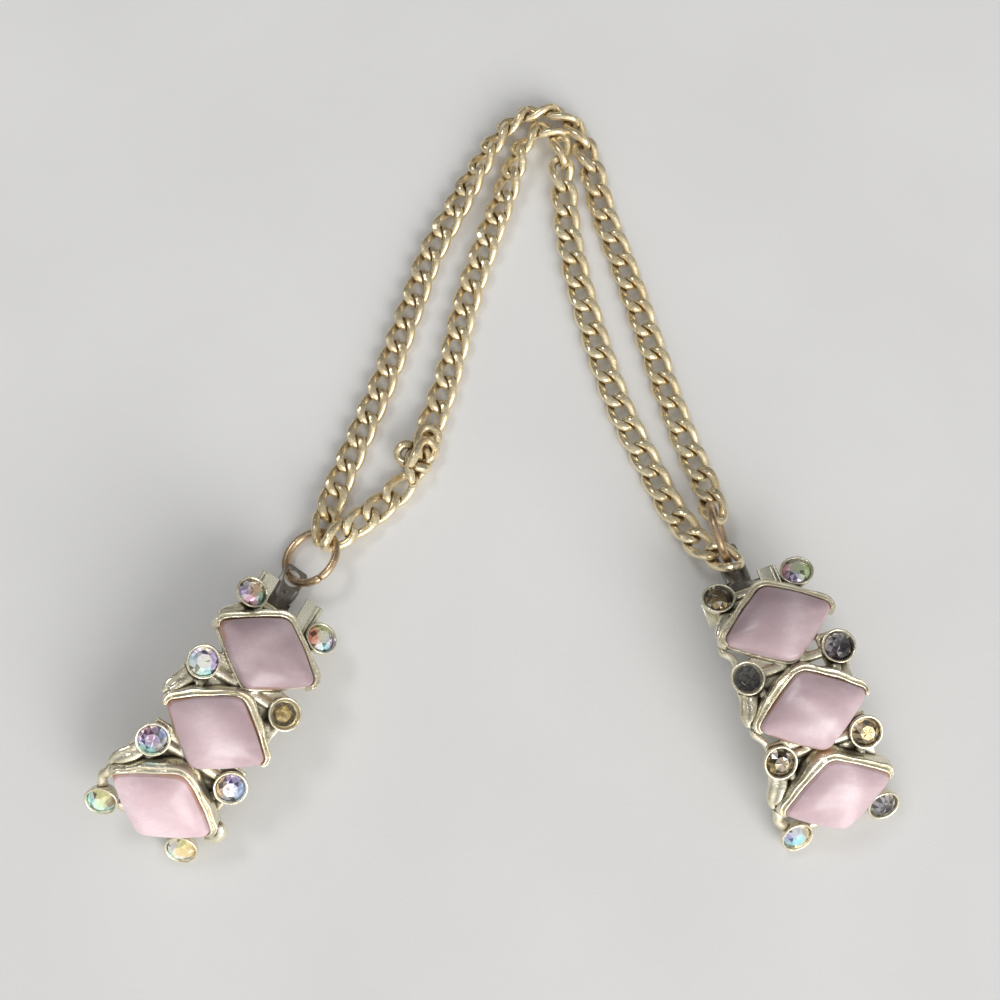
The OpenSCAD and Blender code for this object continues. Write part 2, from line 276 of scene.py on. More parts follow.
def markRecess(obj, reach, rays=14, others=()):
    # how deep each point sits between its neighbours, from 0 in the open to 1 in a crevice
    start, spreadOut, farLoss, shortest = 0.00004, 0.97, 0.6, 0.1
    reach *= mm
    tool = bmesh.new()
    for source in (obj, *others):
        tool.from_mesh(source.data)
    tree = BVHTree.FromBMesh(tool)
    tool.free()
    spread = np.random.default_rng(11).normal(size=(rays, 3))
    spread /= np.linalg.norm(spread, axis=1)[:, None]
    values = np.zeros(len(obj.data.vertices))
    for i, vertex in enumerate(obj.data.vertices):
        hits = 0.0
        for d in spread:
            ray = Vector(d) * spreadOut + vertex.normal
            if ray.length < shortest:
                continue
            place = tree.ray_cast(vertex.co + vertex.normal * start, ray.normalized(), reach)
            if place[0] is not None:
                hits += 1.0 - farLoss * place[3] / reach
        values[i] = hits / rays
    store(obj.data, "recess", values)


def markEdges(obj):
    # how far every point stands out beyond its neighbours, for the worn edges and their painted highlight
    mesh, gain = obj.data, 5.0
    standing, count = np.zeros(len(mesh.vertices)), np.zeros(len(mesh.vertices))
    for edge in mesh.edges:
        for here, there in (edge.vertices, reversed(edge.vertices)):
            away = mesh.vertices[here].co - mesh.vertices[there].co
            standing[here] += away.normalized().dot(mesh.vertices[here].normal)
            count[here] += 1
    store(mesh, "edge", np.clip(standing / np.maximum(count, 1) * gain, 0, 1))


# ---- shader groups

def groupOf(name, inputs, outputs, kind="ShaderNodeTree"):
    tree = bpy.data.node_groups.new(name, kind)
    for label, sort, value in inputs:
        socket = tree.interface.new_socket(name=label, in_out="INPUT", socket_type="NodeSocket" + sort)
        if value is not None:
            socket.default_value = value
    for label, sort in outputs:
        tree.interface.new_socket(name=label, in_out="OUTPUT", socket_type="NodeSocket" + sort)
    return tree, tree.nodes.new("NodeGroupInput").outputs, tree.nodes.new("NodeGroupOutput")


def feed(node, inputs):
    # plain values are set and the outputs of other nodes are wired
    for key, value in inputs.items():
        if isinstance(value, bpy.types.NodeSocket):
            node.id_data.links.new(value, node.inputs[key])
        elif value is not None:
            node.inputs[key].default_value = value
    return node


def put(tree, kind, inputs=None, **settings):
    node = tree.nodes.new(kind)
    for key, value in settings.items():
        setattr(node, key, value)
    return feed(node, inputs or {})


def fedNode(kind, inputs, **settings):
    # a node in the same tree as the outputs that it takes
    tree = next(v.id_data for v in inputs.values() if isinstance(v, bpy.types.NodeSocket))
    return put(tree, kind, inputs, **settings)


def mathNode(operation, a, b=None, clamp=False):
    return fedNode("ShaderNodeMath", {0: a, 1: b}, operation=operation, use_clamp=clamp).outputs[0]


def times(a, b):
    return mathNode("MULTIPLY", a, b)


def plus(a, b, clamp=False):
    return mathNode("ADD", a, b, clamp)


def mixColour(factor, a, b, blend="MIX"):
    return fedNode("ShaderNodeMix", {0: factor, 6: a, 7: b}, data_type="RGBA", blend_type=blend).outputs[2]


def rampOf(source, stops, smooth=False):
    node = fedNode("ShaderNodeValToRGB", {0: source})
    node.color_ramp.interpolation = "EASE" if smooth else "LINEAR"
    elements = node.color_ramp.elements
    while len(elements) < len(stops):
        elements.new(0.5)
    for element, (place, colour) in zip(elements, stops):
        element.position = place
        element.color = colour if isinstance(colour, tuple) else (colour, colour, colour, 1)
    return node.outputs[0]


def noiseNode(vector, scale, detail=3.0, rough=0.5, distortion=0.0):
    return fedNode("ShaderNodeTexNoise", {
        "Vector": vector, "Scale": scale, "Detail": detail, "Roughness": rough,
        "Distortion": distortion}).outputs[0]


def stretched(vector, turn, scale):
    return fedNode("ShaderNodeMapping", {"Vector": vector, "Rotation": turn, "Scale": scale}).outputs[0]


def agedMetalGroup():
    # clean metal, thin patches where the plating has gone dull, dirt and painted shade in the recesses, and
    # worn edges that also carry a painted highlight
    tree, src, out = groupOf("agedMetal", [
        ("Vector", "Vector", (0, 0, 0)), ("Clean", "Color", (0.8, 0.7, 0.5, 1)),
        ("Dull", "Color", (0.6, 0.5, 0.35, 1)), ("DirtAndShade", "Color", (0.1, 0.08, 0.05, 1)),
        ("WornAndLit", "Color", (0.8, 0.78, 0.7, 1)), ("Edge", "Float", 0.0), ("Recess", "Float", 0.0),
        ("Dirt Reach", "Float", 1.0), ("Patch Scale", "Float", 500.0), ("Patches", "Float", 0.5),
        ("Polish", "Float", 0.2)],
        [("Colour", "Color"), ("Roughness", "Float"), ("Dirt Mask", "Float")])
    patch = noiseNode(src["Vector"], src["Patch Scale"], 4.0, 0.6, 0.4)
    patchMask = times(rampOf(patch, [(0.42, 0.0), (0.62, 1.0)], True), src["Patches"])
    fine = noiseNode(src["Vector"], times(src["Patch Scale"], 5.0), 3.0, 0.6)
    uneven = plus(fine, -0.5)
    # dirt in the recesses, darkened also as painted shade where the parts crowd and overlap
    dirtAndShade = plus(times(src["Recess"], src["Dirt Reach"]), times(uneven, 0.35))
    dirtAndShadeMask = rampOf(dirtAndShade, [(0.3, 0.0), (0.78, 1.0)], True)
    colour = mixColour(patchMask, src["Clean"], src["Dull"])
    colour = mixColour(1.0, colour, rampOf(fine, [(0.3, 0.86), (0.7, 1.0)]), "MULTIPLY")
    colour = mixColour(dirtAndShadeMask, colour, src["DirtAndShade"])
    # worn edges, lightened also as a painted highlight along them
    rubbedAndLit = plus(src["Edge"], times(plus(patch, -0.5), 1.2))
    colour = mixColour(rampOf(rubbedAndLit, [(0.25, 0.0), (0.6, 0.85)], True), colour, src["WornAndLit"])
    rough = plus(src["Polish"], times(patchMask, 0.16))
    rough = plus(rough, times(dirtAndShadeMask, 0.35))
    rough = plus(rough, times(uneven, 0.16), True)
    feed(out, {"Colour": colour, "Roughness": rough, "Dirt Mask": dirtAndShadeMask})
    return tree


def surfaceReliefGroup():
    # soft hollows of casting, fine grain and a few scratches, as one height
    tree, src, out = groupOf("surfaceRelief", [
        ("Vector", "Vector", (0, 0, 0)), ("Hollows Scale", "Float", 700.0), ("Hollows", "Float", 0.6),
        ("Grain Scale", "Float", 6000.0), ("Grain", "Float", 0.2), ("Scratches", "Float", 0.3)],
        [("Height", "Float")])
    hollow = noiseNode(src["Vector"], src["Hollows Scale"], 2.0, 0.5, 0.3)
    grain = noiseNode(src["Vector"], src["Grain Scale"], 2.0, 0.6)
    line = noiseNode(stretched(src["Vector"], (0.3, 0.5, 0.7), (1.0, 14.0, 3.0)), 420.0, 2.0, 0.5)
    line = rampOf(line, [(0.56, 0.0), (0.585, 1.0), (0.61, 0.0)])
    height = plus(times(hollow, src["Hollows"]), times(grain, src["Grain"]))
    height = mathNode("SUBTRACT", height, times(line, src["Scratches"]))
    feed(out, {"Height": height})
    return tree


def pearlGroup():
    # moonglow plastic: satin clouds under the surface, and an amber line of glue and light at the rim
    tree, src, out = groupOf("pearlCloud", [
        ("Vector", "Vector", (0, 0, 0)), ("Deep", "Color", (0.5, 0.3, 0.34, 1)),
        ("Glow", "Color", (0.9, 0.7, 0.73, 1)), ("Amber", "Color", (0.6, 0.3, 0.15, 1)),
        ("Rim", "Float", 0.0), ("Band", "Float", 0.0),
        ("Cloud Scale", "Float", 140.0), ("Streaks", "Float", 0.6)],
        [("Colour", "Color"), ("Roughness", "Float")])
    drawn = stretched(src["Vector"], (0.0, 0.0, 0.75), (1.0, 2.6, 1.6))
    cloud = noiseNode(drawn, src["Cloud Scale"], 2.5, 0.45, 1.1)
    broad = rampOf(cloud, [(0.32, 0.0), (0.7, 1.0)], True)
    thin = noiseNode(drawn, times(src["Cloud Scale"], 3.3), 3.0, 0.5, 1.6)
    threads = rampOf(thin, [(0.5, 0.0), (0.72, 1.0)], True)
    satin = plus(times(broad, 0.65), times(threads, times(broad, src["Streaks"])), True)
    # painted sheen: a silky band across the stone, combed into fine threads
    comb = rampOf(noiseNode(drawn, 620.0, 2.0, 0.5, 2.4), [(0.3, 0.7), (0.7, 1.0)], True)
    satin = plus(times(satin, 0.45), times(times(src["Band"], comb), 0.75), True)
    colour = mixColour(satin, src["Deep"], src["Glow"])
    fleck = noiseNode(src["Vector"], 900.0, 3.0, 0.6)
    place = rampOf(noiseNode(src["Vector"], 110.0, 1.0, 0.5), [(0.44, 0.45), (0.6, 1.0)], True)
    rim = plus(times(src["Rim"], place), times(plus(fleck, -0.5), 0.35))
    rimMask = rampOf(rim, [(0.62, 0.0), (1.0, 1.0)], True)
    colour = mixColour(times(rimMask, 0.8), colour, src["Amber"])
    colour = mixColour(1.0, colour, rampOf(fleck, [(0.35, 0.95), (0.6, 1.0)]), "MULTIPLY")
    feed(out, {"Colour": colour, "Roughness": plus(times(fleck, 0.14), 0.26)})
    return tree


agedMetal = agedMetalGroup()
surfaceRelief = surfaceReliefGroup()
pearlCloud = pearlGroup()
print("shader groups built")


def newMaterial(name):
    material = bpy.data.materials.new(name)
    material.use_nodes = True
    tree = material.node_tree
    tree.nodes.clear()
    shader = put(tree, "ShaderNodeBsdfPrincipled")
    put(tree, "ShaderNodeOutputMaterial", {0: shader.outputs[0]})
    return material, tree, shader


def objectCoordinates(tree):
    return put(tree, "ShaderNodeTexCoord").outputs["Object"]


def attributeOf(tree, name, output="Fac"):
    return put(tree, "ShaderNodeAttribute", attribute_name=name).outputs[output]


def placed(tree, group, values, **links):
    # a node group with those of the values that it has inputs for
    node = put(tree, "ShaderNodeGroup", node_tree=group)
    known = {key: value for key, value in {**values, **links}.items() if key in node.inputs}
    return feed(node, known).outputs


def bumpFrom(height, distance):
    inputs = {"Strength": 1.0, "Distance": distance * mm, "Height": height}
    return fedNode("ShaderNodeBump", inputs).outputs[0]


def metalMaterial(name, look):
    material, tree, shader = newMaterial(name)
    place = objectCoordinates(tree)
    look = {"WornAndLit": look["Clean"], "metal": 1.0, **look}
    aged = placed(tree, agedMetal, look, Vector=place, Recess=attributeOf(tree, "recess"),
                  Edge=attributeOf(tree, "edge"))
    relief = placed(tree, surfaceRelief, look, Vector=place)
    colour = aged["Colour"]
    if "tint" in look:
        # each link has its own tone
        tone = rampOf(attributeOf(tree, "linkTone"), look["tint"])
        colour = mixColour(look["tintAmount"], colour, tone, "MULTIPLY")
    # less metallic where the dirt and the painted shade lie
    bright = mathNode("SUBTRACT", 1.0, times(aged["Dirt Mask"], look["dirtMatt"]), True)
    feed(shader, {"Base Color": colour, "Roughness": aged["Roughness"],
                  "Metallic": times(bright, look["metal"]),
                  "Normal": bumpFrom(relief["Height"], look["depth"])})
    return material


# in each look the dirt colour is also painted shade in the recesses, and the worn colour also a painted edge
# highlight
looks = {
    "castGold": {
        "Clean": (0.98, 0.92, 0.73, 1), "Dull": (0.78, 0.69, 0.46, 1), "DirtAndShade": (0.085, 0.068, 0.034, 1),
        "Dirt Reach": 1.2, "Patch Scale": 420.0, "Patches": 0.5, "Polish": 0.15, "Hollows Scale": 900.0,
        "Hollows": 0.8, "Grain": 0.12, "Scratches": 0.16, "depth": 0.05, "dirtMatt": 0.6, "metal": 0.82},
    "paleBracket": {
        "Clean": (0.84, 0.8, 0.63, 1), "Dull": (0.62, 0.57, 0.41, 1), "DirtAndShade": (0.09, 0.075, 0.045, 1),
        "WornAndLit": (0.93, 0.9, 0.74, 1), "Dirt Reach": 1.15, "Patch Scale": 650.0, "Patches": 0.5,
        "Polish": 0.22, "Hollows Scale": 600.0, "Hollows": 0.3, "Grain": 0.12, "Scratches": 0.3,
        "depth": 0.025, "dirtMatt": 0.6, "metal": 0.6},
    "darkSteel": {
        "Clean": (0.3, 0.285, 0.265, 1), "Dull": (0.2, 0.165, 0.13, 1), "DirtAndShade": (0.05, 0.04, 0.03, 1),
        "WornAndLit": (0.66, 0.64, 0.56, 1), "Dirt Reach": 0.9, "Patch Scale": 380.0, "Patches": 0.85,
        "Polish": 0.38, "Hollows Scale": 400.0, "Hollows": 0.12, "Grain": 0.12, "Scratches": 0.3,
        "depth": 0.03, "dirtMatt": 0.5, "metal": 0.85},
    "ringBrass": {
        "Clean": (0.72, 0.53, 0.34, 1), "Dull": (0.42, 0.3, 0.18, 1), "DirtAndShade": (0.13, 0.09, 0.05, 1),
        "Dirt Reach": 0.9, "Patch Scale": 330.0, "Patches": 0.8, "Polish": 0.27, "Hollows Scale": 500.0,
        "Hollows": 0.3, "Grain": 0.15, "Scratches": 0.4, "depth": 0.03, "dirtMatt": 0.4},
    "chainGold": {
        "Clean": (1.0, 0.88, 0.6, 1), "Dull": (0.96, 0.76, 0.45, 1), "DirtAndShade": (0.24, 0.15, 0.05, 1),
        "Dirt Reach": 1.5, "Patch Scale": 260.0, "Patches": 0.5, "Polish": 0.16, "Hollows Scale": 900.0,
        "Hollows": 0.5, "Grain": 0.1, "Scratches": 0.3, "depth": 0.03, "dirtMatt": 0.35, "metal": 0.8,
        "tint": [(0.0, (0.8, 0.76, 0.74, 1)), (0.5, (0.95, 0.91, 0.86, 1)), (1.0, (1.0, 1.0, 1.0, 1))],
        "tintAmount": 0.6},
}
metals = {name: metalMaterial(name, look) for name, look in looks.items()}

pearlLooks = {
    "Deep": (0.53, 0.385, 0.415, 1), "Glow": (0.75, 0.6, 0.635, 1), "Amber": (0.5, 0.25, 0.13, 1),
    "Cloud Scale": 80.0, "Streaks": 0.6,
    "Hollows Scale": 260.0, "Hollows": 0.5, "Grain": 0.02, "Scratches": 0.05,
}


def pearlMaterial():
    material, tree, shader = newMaterial("pearlPink")
    place = objectCoordinates(tree)
    cloud = placed(tree, pearlCloud, pearlLooks, Vector=place, Rim=attributeOf(tree, "rim"),
                   Band=attributeOf(tree, "sheenBand"))
    relief = placed(tree, surfaceRelief, pearlLooks, Vector=place)
    # the base colour is multiplied by each stone's tone: painted shade or painted light
    feed(shader, {
        "Base Color": mixColour(1.0, cloud["Colour"], attributeOf(tree, "tone", "Color"), "MULTIPLY"),
        "Roughness": cloud["Roughness"], "Normal": bumpFrom(relief["Height"], 0.04),
        "Subsurface Weight": 0.35, "Subsurface Radius": (1.0, 0.5, 0.4), "Subsurface Scale": 0.0012,
        "Specular IOR Level": 0.55, "Coat Weight": 0.24, "Coat Roughness": 0.16,
        "Sheen Weight": 0.08, "Sheen Roughness": 0.35, "Sheen Tint": (1.0, 0.86, 0.88, 1)})
    return material


def foilMaterial():
    # coated glass with foil behind it: the colour of each facet is on the mesh, its gloss in the alpha
    # the facet colours hold the coating's colours and also painted reflections and glints
    material, tree, shader = newMaterial("foiledGlass")
    place = objectCoordinates(tree)
    swirl = noiseNode(place, 900.0, 2.0, 0.5, 0.8)
    sheen = rampOf(swirl, [(0.3, (0.86, 0.88, 1.0, 1)), (0.5, (1.0, 0.98, 0.94, 1)),
                           (0.7, (1.0, 0.9, 0.92, 1))])
    colour = mixColour(0.4, attributeOf(tree, "facetColour", "Color"), sheen, "MULTIPLY")
    grime = rampOf(noiseNode(place, 4200.0, 2.0, 0.5), [(0.6, 1.0), (0.72, 0.6)])
    feed(shader, {
        "Base Color": mixColour(1.0, colour, grime, "MULTIPLY"),
        "Roughness": plus(times(swirl, 0.14), 0.03), "Metallic": 0.35,
        "Coat Weight": attributeOf(tree, "facetColour", "Alpha"), "Coat Roughness": 0.03, "Coat IOR": 1.7})
    return material


def glueMaterial(name, light, dark, rough):
    # what is left in a cup whose rhinestone is gone
    material, tree, shader = newMaterial(name)
    lump = noiseNode(objectCoordinates(tree), 1500.0, 4.0, 0.65, 0.6)
    feed(shader, {
        "Base Color": rampOf(lump, [(0.35, dark), (0.68, light)], True),
        "Roughness": plus(times(lump, 0.4), rough), "Normal": bumpFrom(lump, 0.35),
        "Coat Weight": 0.2, "Coat Roughness": rough})
    return material


pearlPink = pearlMaterial()
foiledGlass = foilMaterial()
oldGlue = glueMaterial("oldGlue", (0.82, 0.64, 0.27, 1), (0.25, 0.16, 0.05, 1), 0.15)
blackCup = glueMaterial("blackCup", (0.11, 0.105, 0.095, 1), (0.02, 0.02, 0.019, 1), 0.45)
# a bronze tarnish lining, dark also as painted shade in the deep empty cup
bronzeTarnishAndShade = glueMaterial("bronzeTarnishAndShade", (0.24, 0.18, 0.085, 1), (0.05, 0.036, 0.015, 1), 0.22)
print("materials built")


# ---- lozenge stones and their seats

stones = {
    "halfWidth": 8.2, "halfLength": 5.95, "sideRound": 0.95, "endRound": 2.0, "bow": 0.16, "points": 14,
    "oval": 0.8,    # size of the oval crest inside the lozenge
    # scale of the outline and height, from the seat up: straight side, bevel crease, pillow
    "section": ((0.9, -0.84), (0.955, -0.45), (0.975, -0.2), (0.993, 0.2), (1.0, 0.5), (0.997, 0.68),
                (0.985, 0.9), (0.967, 1.16), (0.953, 1.36), (0.945, 1.43), (0.932, 1.475), (0.912, 1.54),
                (0.88, 1.67), (0.83, 1.84), (0.77, 2.03), (0.7, 2.22), (0.62, 2.4), (0.53, 2.55),
                (0.44, 2.665), (0.35, 2.745), (0.26, 2.8), (0.17, 2.838), (0.08, 2.857)),
    # painted sheen band of each stone: direction, distance from the middle, width; then how deep its pink is
    # that depth is painted shade on the upper stone and painted light on the lower ones
    "left1": (70, 0.3, 0.3, 0.82), "left2": (-40, -0.15, 0.34, 1.0), "left3": (-15, -0.55, 0.5, 1.25),
    "right1": (60, -0.3, 0.22, 0.91), "right2": (-58, -0.05, 0.16, 1.04), "right3": (75, -0.2, 0.24, 1.12),
}


def lozengeOutline(a, b, sideRound, endRound, arcPoints, edgePoints):
    # points and outward directions, from the lower corner round by the right one
    corners = np.array(((0, -b), (a, 0), (0, b), (-a, 0)), float)
    arcs = []
    for i, corner in enumerate(corners):
        radius = sideRound if i % 2 else endRound
        before, after = corners[i - 1] - corner, corners[(i + 1) % 4] - corner
        before /= np.linalg.norm(before)
        after /= np.linalg.norm(after)
        half = math.acos(float(before @ after)) / 2
        centre = corner + (before + after) / np.linalg.norm(before + after) * radius / math.sin(half)
        start = corner + before * radius / math.tan(half) - centre
        first, swing = math.atan2(start[1], start[0]), math.pi - 2 * half
        turns = [first + swing * k / arcPoints for k in range(arcPoints + 1)]
        away = [np.array((math.cos(t), math.sin(t))) for t in turns]
        arcs.append([(centre + d * radius, d) for d in away])
    ring = []
    for i, arc in enumerate(arcs):
        ring += arc
        here, there = arc[-1], arcs[(i + 1) % 4][0]
        for k in range(1, edgePoints):
            bulge = here[1] * stones["bow"] * math.sin(math.pi * k / edgePoints)
            ring.append((here[0] + (there[0] - here[0]) * k / edgePoints + bulge, here[1]))
    return np.array([p for p, d in ring]), np.array([d for p, d in ring])


def buildStone(side, number):
    long, wide = stones["halfLength"], stones["halfWidth"]
    outline, _ = lozengeOutline(wide, long, stones["sideRound"], stones["endRound"], 6, stones["points"])
    angles = np.arctan2(outline[:, 1] / long, outline[:, 0] / wide)
    oval = np.column_stack((np.cos(angles) * wide, np.sin(angles) * long)) * stones["oval"]
    # depth is painted shade on the upper stone and painted light on the lower ones
    heading, offset, width, depth = stones[side + str(number)]
    across = np.array((-math.sin(math.radians(heading)), math.cos(math.radians(heading))))
    rings, rim, sheenBand = [], [], []
    for scale, height in stones["section"]:
        # the pillow's rings turn from lozenge to oval toward the crest
        blend = min(1.0, max(0.0, (height - 1.3) / 1.5)) ** 0.8 * 0.75
        flat = (outline * (1 - blend) + oval * blend) * scale
        rings.append(atHeight(flat, height))
        rim += [max(0.0, (scale - 0.8) / 0.2) if height > 0.6 else 1.0] * len(flat)
        # where the painted sheen band lies across the stone
        bowed = flat @ across / long - offset + 0.1 * (flat[:, 0] / wide) ** 2
        sheenBand += list(np.exp(-(bowed / width) ** 2))
    points, faces = loft(rings)
    points = toFrame(side, onArch((number - 1) * layout["stoneStep"], points))
    obj = newObject(side + "Stone" + str(number), points, faces, 60)
    store(obj.data, "rim", rim)
    store(obj.data, "sheenBand", sheenBand)
    # the tone attribute carries that painted shade and light
    store(obj.data, "tone", [(depth, depth, depth, 1.0)] * len(rim), "FLOAT_COLOR")
    fitted(obj, pearlPink, ornamentBody(side), "pearl_stone", side + "_stone_" + str(number))


for side in sides:
    for number in (1, 2, 3):
        buildStone(side, number)
print("six pearl stones")


# ---- the casting: seats, V walls, collets, leaf arms and bars

casting = {
    "back": -1.9, "floorTop": -0.92, "barHeight": 1.1, "barWidth": 1.5, "cupClear": 1.85,
    # cross-section of the V wall: out from the stone, height; two ridges with a groove between
    "wallSection": ((0.02, -1.9), (0.02, 0.3), (0.03, 0.88), (0.1, 1.07), (0.21, 1.15), (0.34, 1.14),
                    (0.45, 1.03), (0.52, 0.9), (0.59, 0.82), (0.67, 0.86), (0.78, 0.95), (0.9, 0.94),
                    (1.0, 0.82), (1.07, 0.6), (1.12, 0.3), (1.16, -0.4), (1.12, -1.3), (0.95, -1.9)),
    "wallWobble": 0.12, "leafWobble": 0.09, "wallEnd": -0.55, "seed": {"left": 3.0, "right": 9.0},
    # collet: radius and height, up the outside, over the lip and down into the cup
    "colletSection": ((0.2, -2.25), (1.2, -2.25), (1.42, -2.18), (1.56, -1.95), (1.85, -1.5),
                      (2.1, -1.05), (2.24, -0.72), (2.3, -0.5), (2.29, -0.3), (2.31, -0.17),
                      (2.34, -0.06), (2.33, 0.04), (2.26, 0.1), (2.16, 0.11), (2.07, 0.07), (2.0, -0.02),
                      (1.96, -0.15), (1.92, -0.4), (1.7, -0.62), (1.2, -1.1), (0.66, -1.6), (0.5, -1.68),
                      (0.1, -1.7)),
    "colletSides": 56,
    "voxel": 0.15, "softening": 0.5, "softenings": 5, "holeFrom": 4.3,
    # rows whose collet is also tied to the stone above it
    "edgeArms": {"left outer": (3,), "left inner": (), "right outer": (1, 2, 3), "right inner": ()},
}


def wallShape(along, seed):
    outline, outward = lozengeOutline(stones["halfWidth"], stones["halfLength"], stones["sideRound"],
                                      stones["endRound"], 8, 22)
    # only the two upper edges carry the wall, and its ends hook round the side corners
    count = len(outline)
    upper = outline[:, 1] > casting["wallEnd"]
    start = next(i for i in range(count) if upper[i] and outline[i][0] > 0)
    picked = [i % count for i in range(start, start + count) if upper[i % count]]
    section = np.array(casting["wallSection"])
    rings = []
    last = len(picked) - 1
    for k, i in enumerate(picked):
        fromEnd = min(k, last - k)
        size = min(1.0, math.sqrt((fromEnd + 0.25) / 6.0))
        local = section.copy()
        swell = 1 + 0.16 * math.sin(k * 0.21 + seed * 2.3) + 0.07 * math.sin(k * 0.57 + seed)
        local[:, 0] = section[:, 0] * swell * (0.3 + 0.7 * size)
        local[:, 1] = np.where(section[:, 1] > 0, section[:, 1] * (0.7 + 0.3 * size), section[:, 1])
        p, d = outline[i], outward[i]
        rings.append(np.column_stack((p[0] + d[0] * local[:, 0], p[1] + d[1] * local[:, 0], local[:, 1])))
    points, faces = loft(rings)
    points = wobble(points, casting["wallWobble"], 0.38, seed)
    points = wobble(points, 0.025, 1.5, seed)
    return onArch(along, points), faces


def colletShape(number, seed):
    along, out = colletPlace(number)
    points, faces = lathe(casting["colletSection"], casting["colletSides"])
    points = wobble(points, 0.035, 0.8, seed + number * 3.1)
    points[:, 0] += out
    return onArch(along, points), faces


def seatShape(along):
    # a lozenge frame under a stone, open in the middle
    outer, _ = lozengeOutline(stones["halfWidth"] - 0.15, stones["halfLength"] - 0.1, 0.5, 1.3, 3, 6)
    inner, _ = lozengeOutline(stones["halfWidth"] - 3.4, stones["halfLength"] - 2.5, 0.5, 1.3, 3, 6)
    low, top = casting["back"], casting["floorTop"]
    corners = ((outer, low), (outer, top), (inner, top), (inner, low))
    points, faces = loft([atHeight(flat, height) for flat, height in corners], closed=True)
    return onArch(along, points), faces


def leaf(knots, hand, seed):
    # knots: x, along, height, half width, half thickness
    run = smoothRun(knots)
    path = bentOver(np.column_stack((run[:, 0] * hand, run[:, 1], run[:, 2])))
    points, faces = sweep(path, [tuple(r) for r in run[:, 3:5]], 14)
    return wobble(points, casting["leafWobble"], 0.8, seed), faces


def leavesOf(row, hand, seed):
    # lobes that run from a collet to the wall of the stone below it, long ones only on the left-hand side
    along, out = layout["rows"][row]
    corner = row * layout["stoneStep"]
    gap = corner - along
    inner = ((out - 1.2, along + 1.95, -1.1, 0.5, 0.5), (out - 1.25, along + 2.6, -0.9, 0.7, 0.55),
             (out - 1.5, along + gap * 0.55, -0.6, 0.55, 0.5))
    middle = ((out + 0.1, along + 2.1, -1.05, 0.6, 0.5), (out + 0.4, along + gap * 0.45, -0.7, 0.8, 0.6),
              (7.6, corner - gap * 0.32, -0.3, 0.65, 0.55), (8.3, corner - 1.2, -0.3, 0.4, 0.4))
    outer = ((out + 1.2, along + 1.7, -1.1, 0.55, 0.55), (out + 1.2, along + gap * 0.4, -0.95, 0.75, 0.5),
             (8.5, corner - gap * 0.3, -0.7, 0.8, 0.5), (8.7, corner - 0.5, -0.6, 0.45, 0.4))
    lobes = [leaf(inner, hand, seed + 2)]
    if hand < 0:
        lobes.append(leaf(middle, hand, seed + 1))
        if row:
            lobes.append(leaf(outer, hand, seed))
    return lobes


def upperArm(row, hand, seed):
    # from the side corner of the stone above, close along its lower edge, to the collet
    along, out = layout["rows"][row]
    corner = (row - 1) * layout["stoneStep"]
    high, bulge = (-0.75, 8.3) if row == 3 else (-1.2, 7.3)
    width = 0.75 if row == 3 else 0.5
    arm = ((8.35, corner - 0.1, high - 0.1, width * 0.7, 0.5), (8.2, corner + 0.9, high, width, 0.6),
           (bulge, corner + 2.2, high - 0.1, width, 0.6), (out + 0.6, along - 1.1, high - 0.3, width, 0.6))
    return leaf(arm, hand, seed)


def wallBlob(seed):
    # where the last wall ends on the right it swells into a lobe
    low = 2 * layout["stoneStep"]
    blob = ((7.9, low - 1.6, 0.1, 0.6, 0.7), (8.9, low - 0.6, -0.2, 1.0, 1.0),
            (8.8, low + 0.9, -0.5, 0.9, 0.9), (8.0, low + 1.9, -0.8, 0.5, 0.5))
    return leaf(blob, 1, seed)


def floorShape(row, hand, start):
    # the cast floor between a collet, the stone above and the wall below
    along, out = layout["rows"][row]
    below, above = row * layout["stoneStep"], (row - 1) * layout["stoneStep"]
    slope = stones["halfLength"] / stones["halfWidth"]

    def upperEdge(x):
        return max(above + stones["halfLength"] - slope * x - 0.8, along - 2.6)

    def lowerEdge(x):
        return min(below - stones["halfLength"] + slope * x + 0.4, along + 5.4)

    across = np.linspace(start, out + 0.9, 9)
    outline = [(x, upperEdge(x)) for x in across]
    if hand < 0:
        outline += [(out + 1.7, along + 0.3), (out + 1.9, along + 2.0), (8.6, min(below - 1.4, along + 5.6))]
    else:
        outline += [(out + 1.0, along + 0.3), (out + 0.9, along + 1.7), (7.2, min(below - 2.6, along + 4.0))]
    outline += [(x, lowerEdge(x)) for x in across[::-1]]
    rings = []
    middle = np.mean(outline, axis=0)
    for height, inset in ((-1.9, 0.96), (-1.75, 1.0), (-1.4, 1.0), (-1.28, 0.97)):
        flat = middle + (np.array(outline) - middle) * inset
        rings.append(bentOver(atHeight(flat * (hand, 1), height)))
    return loft(rings)


def barShape(along, out):
    # a bar stops inside the wall of its cups
    thick = casting["barHeight"] / 2
    reach = out - casting["cupClear"]
    points = [archPoint(along, -reach + 2 * reach * k / 8, casting["back"] + thick) for k in range(9)]
    up = archPoint(along, 0, 1) - archPoint(along, 0, 0)
    return sweep(points, (casting["barWidth"] / 2, thick), 12, up=up)


def spineShape():
    # a ridge down the middle of the back
    first, last, steps = layout["rows"][0][0], layout["rows"][3][0], 32
    section = ((-1.5, -1.9), (1.5, -1.9), (1.5, -1.15), (1.1, -0.95), (-1.1, -0.95), (-1.5, -1.15))
    rings = []
    for k in range(steps + 1):
        along = first + (last - first) * k / steps
        rings.append(np.array([archPoint(along, x, height) for x, height in section]))
    return loft(rings)


def footShape(number):
    along, out = colletPlace(number)
    points, faces = lathe(((1.25, -2.2), (1.5, -2.1), (1.6, -1.8)), 20)
    points[:, 0] += out
    return onArch(along, points), faces


